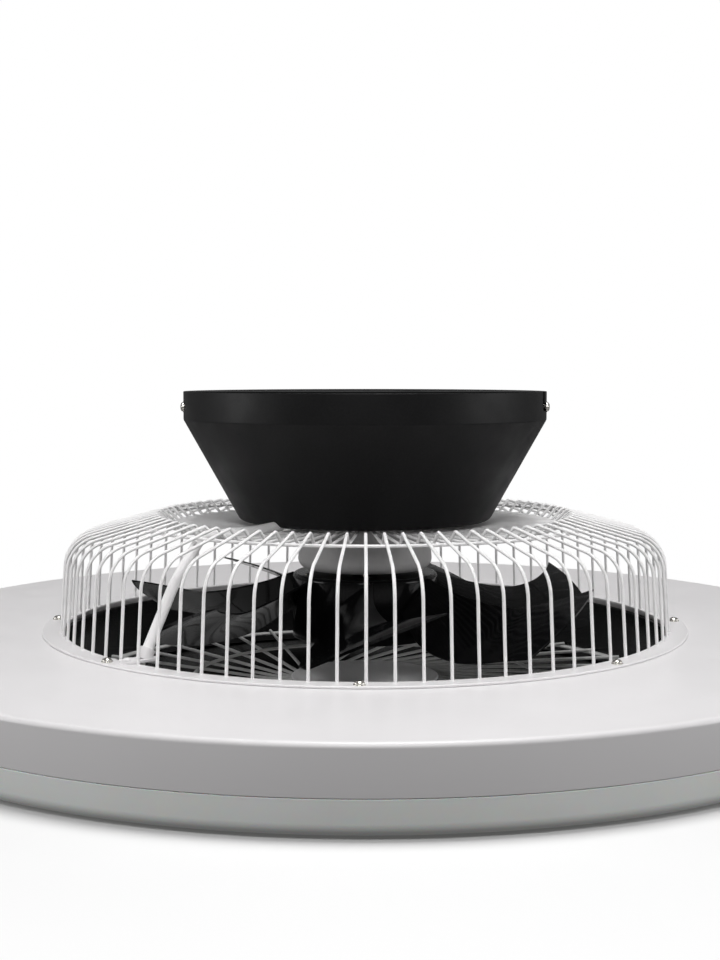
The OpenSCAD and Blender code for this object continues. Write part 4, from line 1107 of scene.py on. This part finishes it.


# Pale floor just under the ring, seen by the camera alone and from above: it shows the shadow
# near the fan and runs out to white. Under the fan's opening painted shade darkens it, to give the
# duct its depth
def floorPaint():
    material = bpy.data.materials.new("paleFloor")
    material.use_nodes = True
    tree = material.node_tree
    tree.nodes.clear()
    place = addNode(tree, "ShaderNodeTexCoord").outputs["Object"]
    away = addNode(tree, "ShaderNodeVectorMath", {"operation": "LENGTH"}, {0: place})
    fade = addNode(tree, "ShaderNodeMapRange", {
        "interpolation_type": "SMOOTHSTEP", "From Min": studio["whiteFrom"],
        "From Max": studio["whiteAt"]}, {"Value": away.outputs["Value"]})
    # Painted shade: ambient occlusion, raised to a power, mixes the floor's colour to near black
    # under the fan's opening
    shade = addNode(tree, "ShaderNodeAmbientOcclusion",
                    {"samples": 8, "Distance": studio["shadeReach"]})
    depth = addNode(tree, "ShaderNodeMath", {"operation": "POWER", 1: studio["shadeDepth"]},
                    {0: shade.outputs["AO"]})
    beside = addNode(tree, "ShaderNodeMapRange", {
        "From Min": studio["underFan"], "From Max": studio["besideFan"]},
        {"Value": away.outputs["Value"]})
    lit = addNode(tree, "ShaderNodeMath", {"operation": "MAXIMUM"},
                  {0: depth.outputs[0], 1: beside.outputs[0]})
    tone = addNode(tree, "ShaderNodeMix", {"data_type": "RGBA"}, {"Factor": lit.outputs[0]})
    tone.inputs[6].default_value = srgb(studio["paintedShadeTone"])  # 6 and 7 are the colour sockets
    tone.inputs[7].default_value = srgb(studio["paleTone"])
    paint = addNode(tree, "ShaderNodeBsdfDiffuse", None, {"Color": tone.outputs[2]})
    white = addNode(tree, "ShaderNodeEmission", {"Color": (1, 1, 1, 1), "Strength": 1})
    seen = addNode(tree, "ShaderNodeMixShader", None,
                   {0: fade.outputs[0], 1: paint.outputs[0], 2: white.outputs[0]})
    clear = addNode(tree, "ShaderNodeBsdfTransparent")
    side = addNode(tree, "ShaderNodeNewGeometry")
    ray = addNode(tree, "ShaderNodeLightPath")
    fromAbove = addNode(tree, "ShaderNodeMath", {"operation": "SUBTRACT", "use_clamp": True},
                        {0: ray.outputs["Is Camera Ray"], 1: side.outputs["Backfacing"]})
    shown = addNode(tree, "ShaderNodeMixShader", None,
                    {0: fromAbove.outputs[0], 1: clear.outputs[0], 2: seen.outputs[0]})
    addNode(tree, "ShaderNodeOutputMaterial", None, {"Surface": shown.outputs[0]})
    return material


def makeFloor():
    half = studio["floorSize"] / 2
    mesh = bpy.data.meshes.new("floor")
    corners = [(-half, -half, 0), (half, -half, 0), (half, half, 0), (-half, half, 0)]
    mesh.from_pydata(corners, [], [(0, 1, 2, 3)])
    mesh.materials.append(floorPaint())
    floor = bpy.data.objects.new("floor", mesh)
    floor.location.z = studio["floorAt"]
    bpy.context.scene.collection.objects.link(floor)


makeFloor()
bpy.context.scene.view_settings.view_transform = "Standard"
print("stage: camera, light and floor")
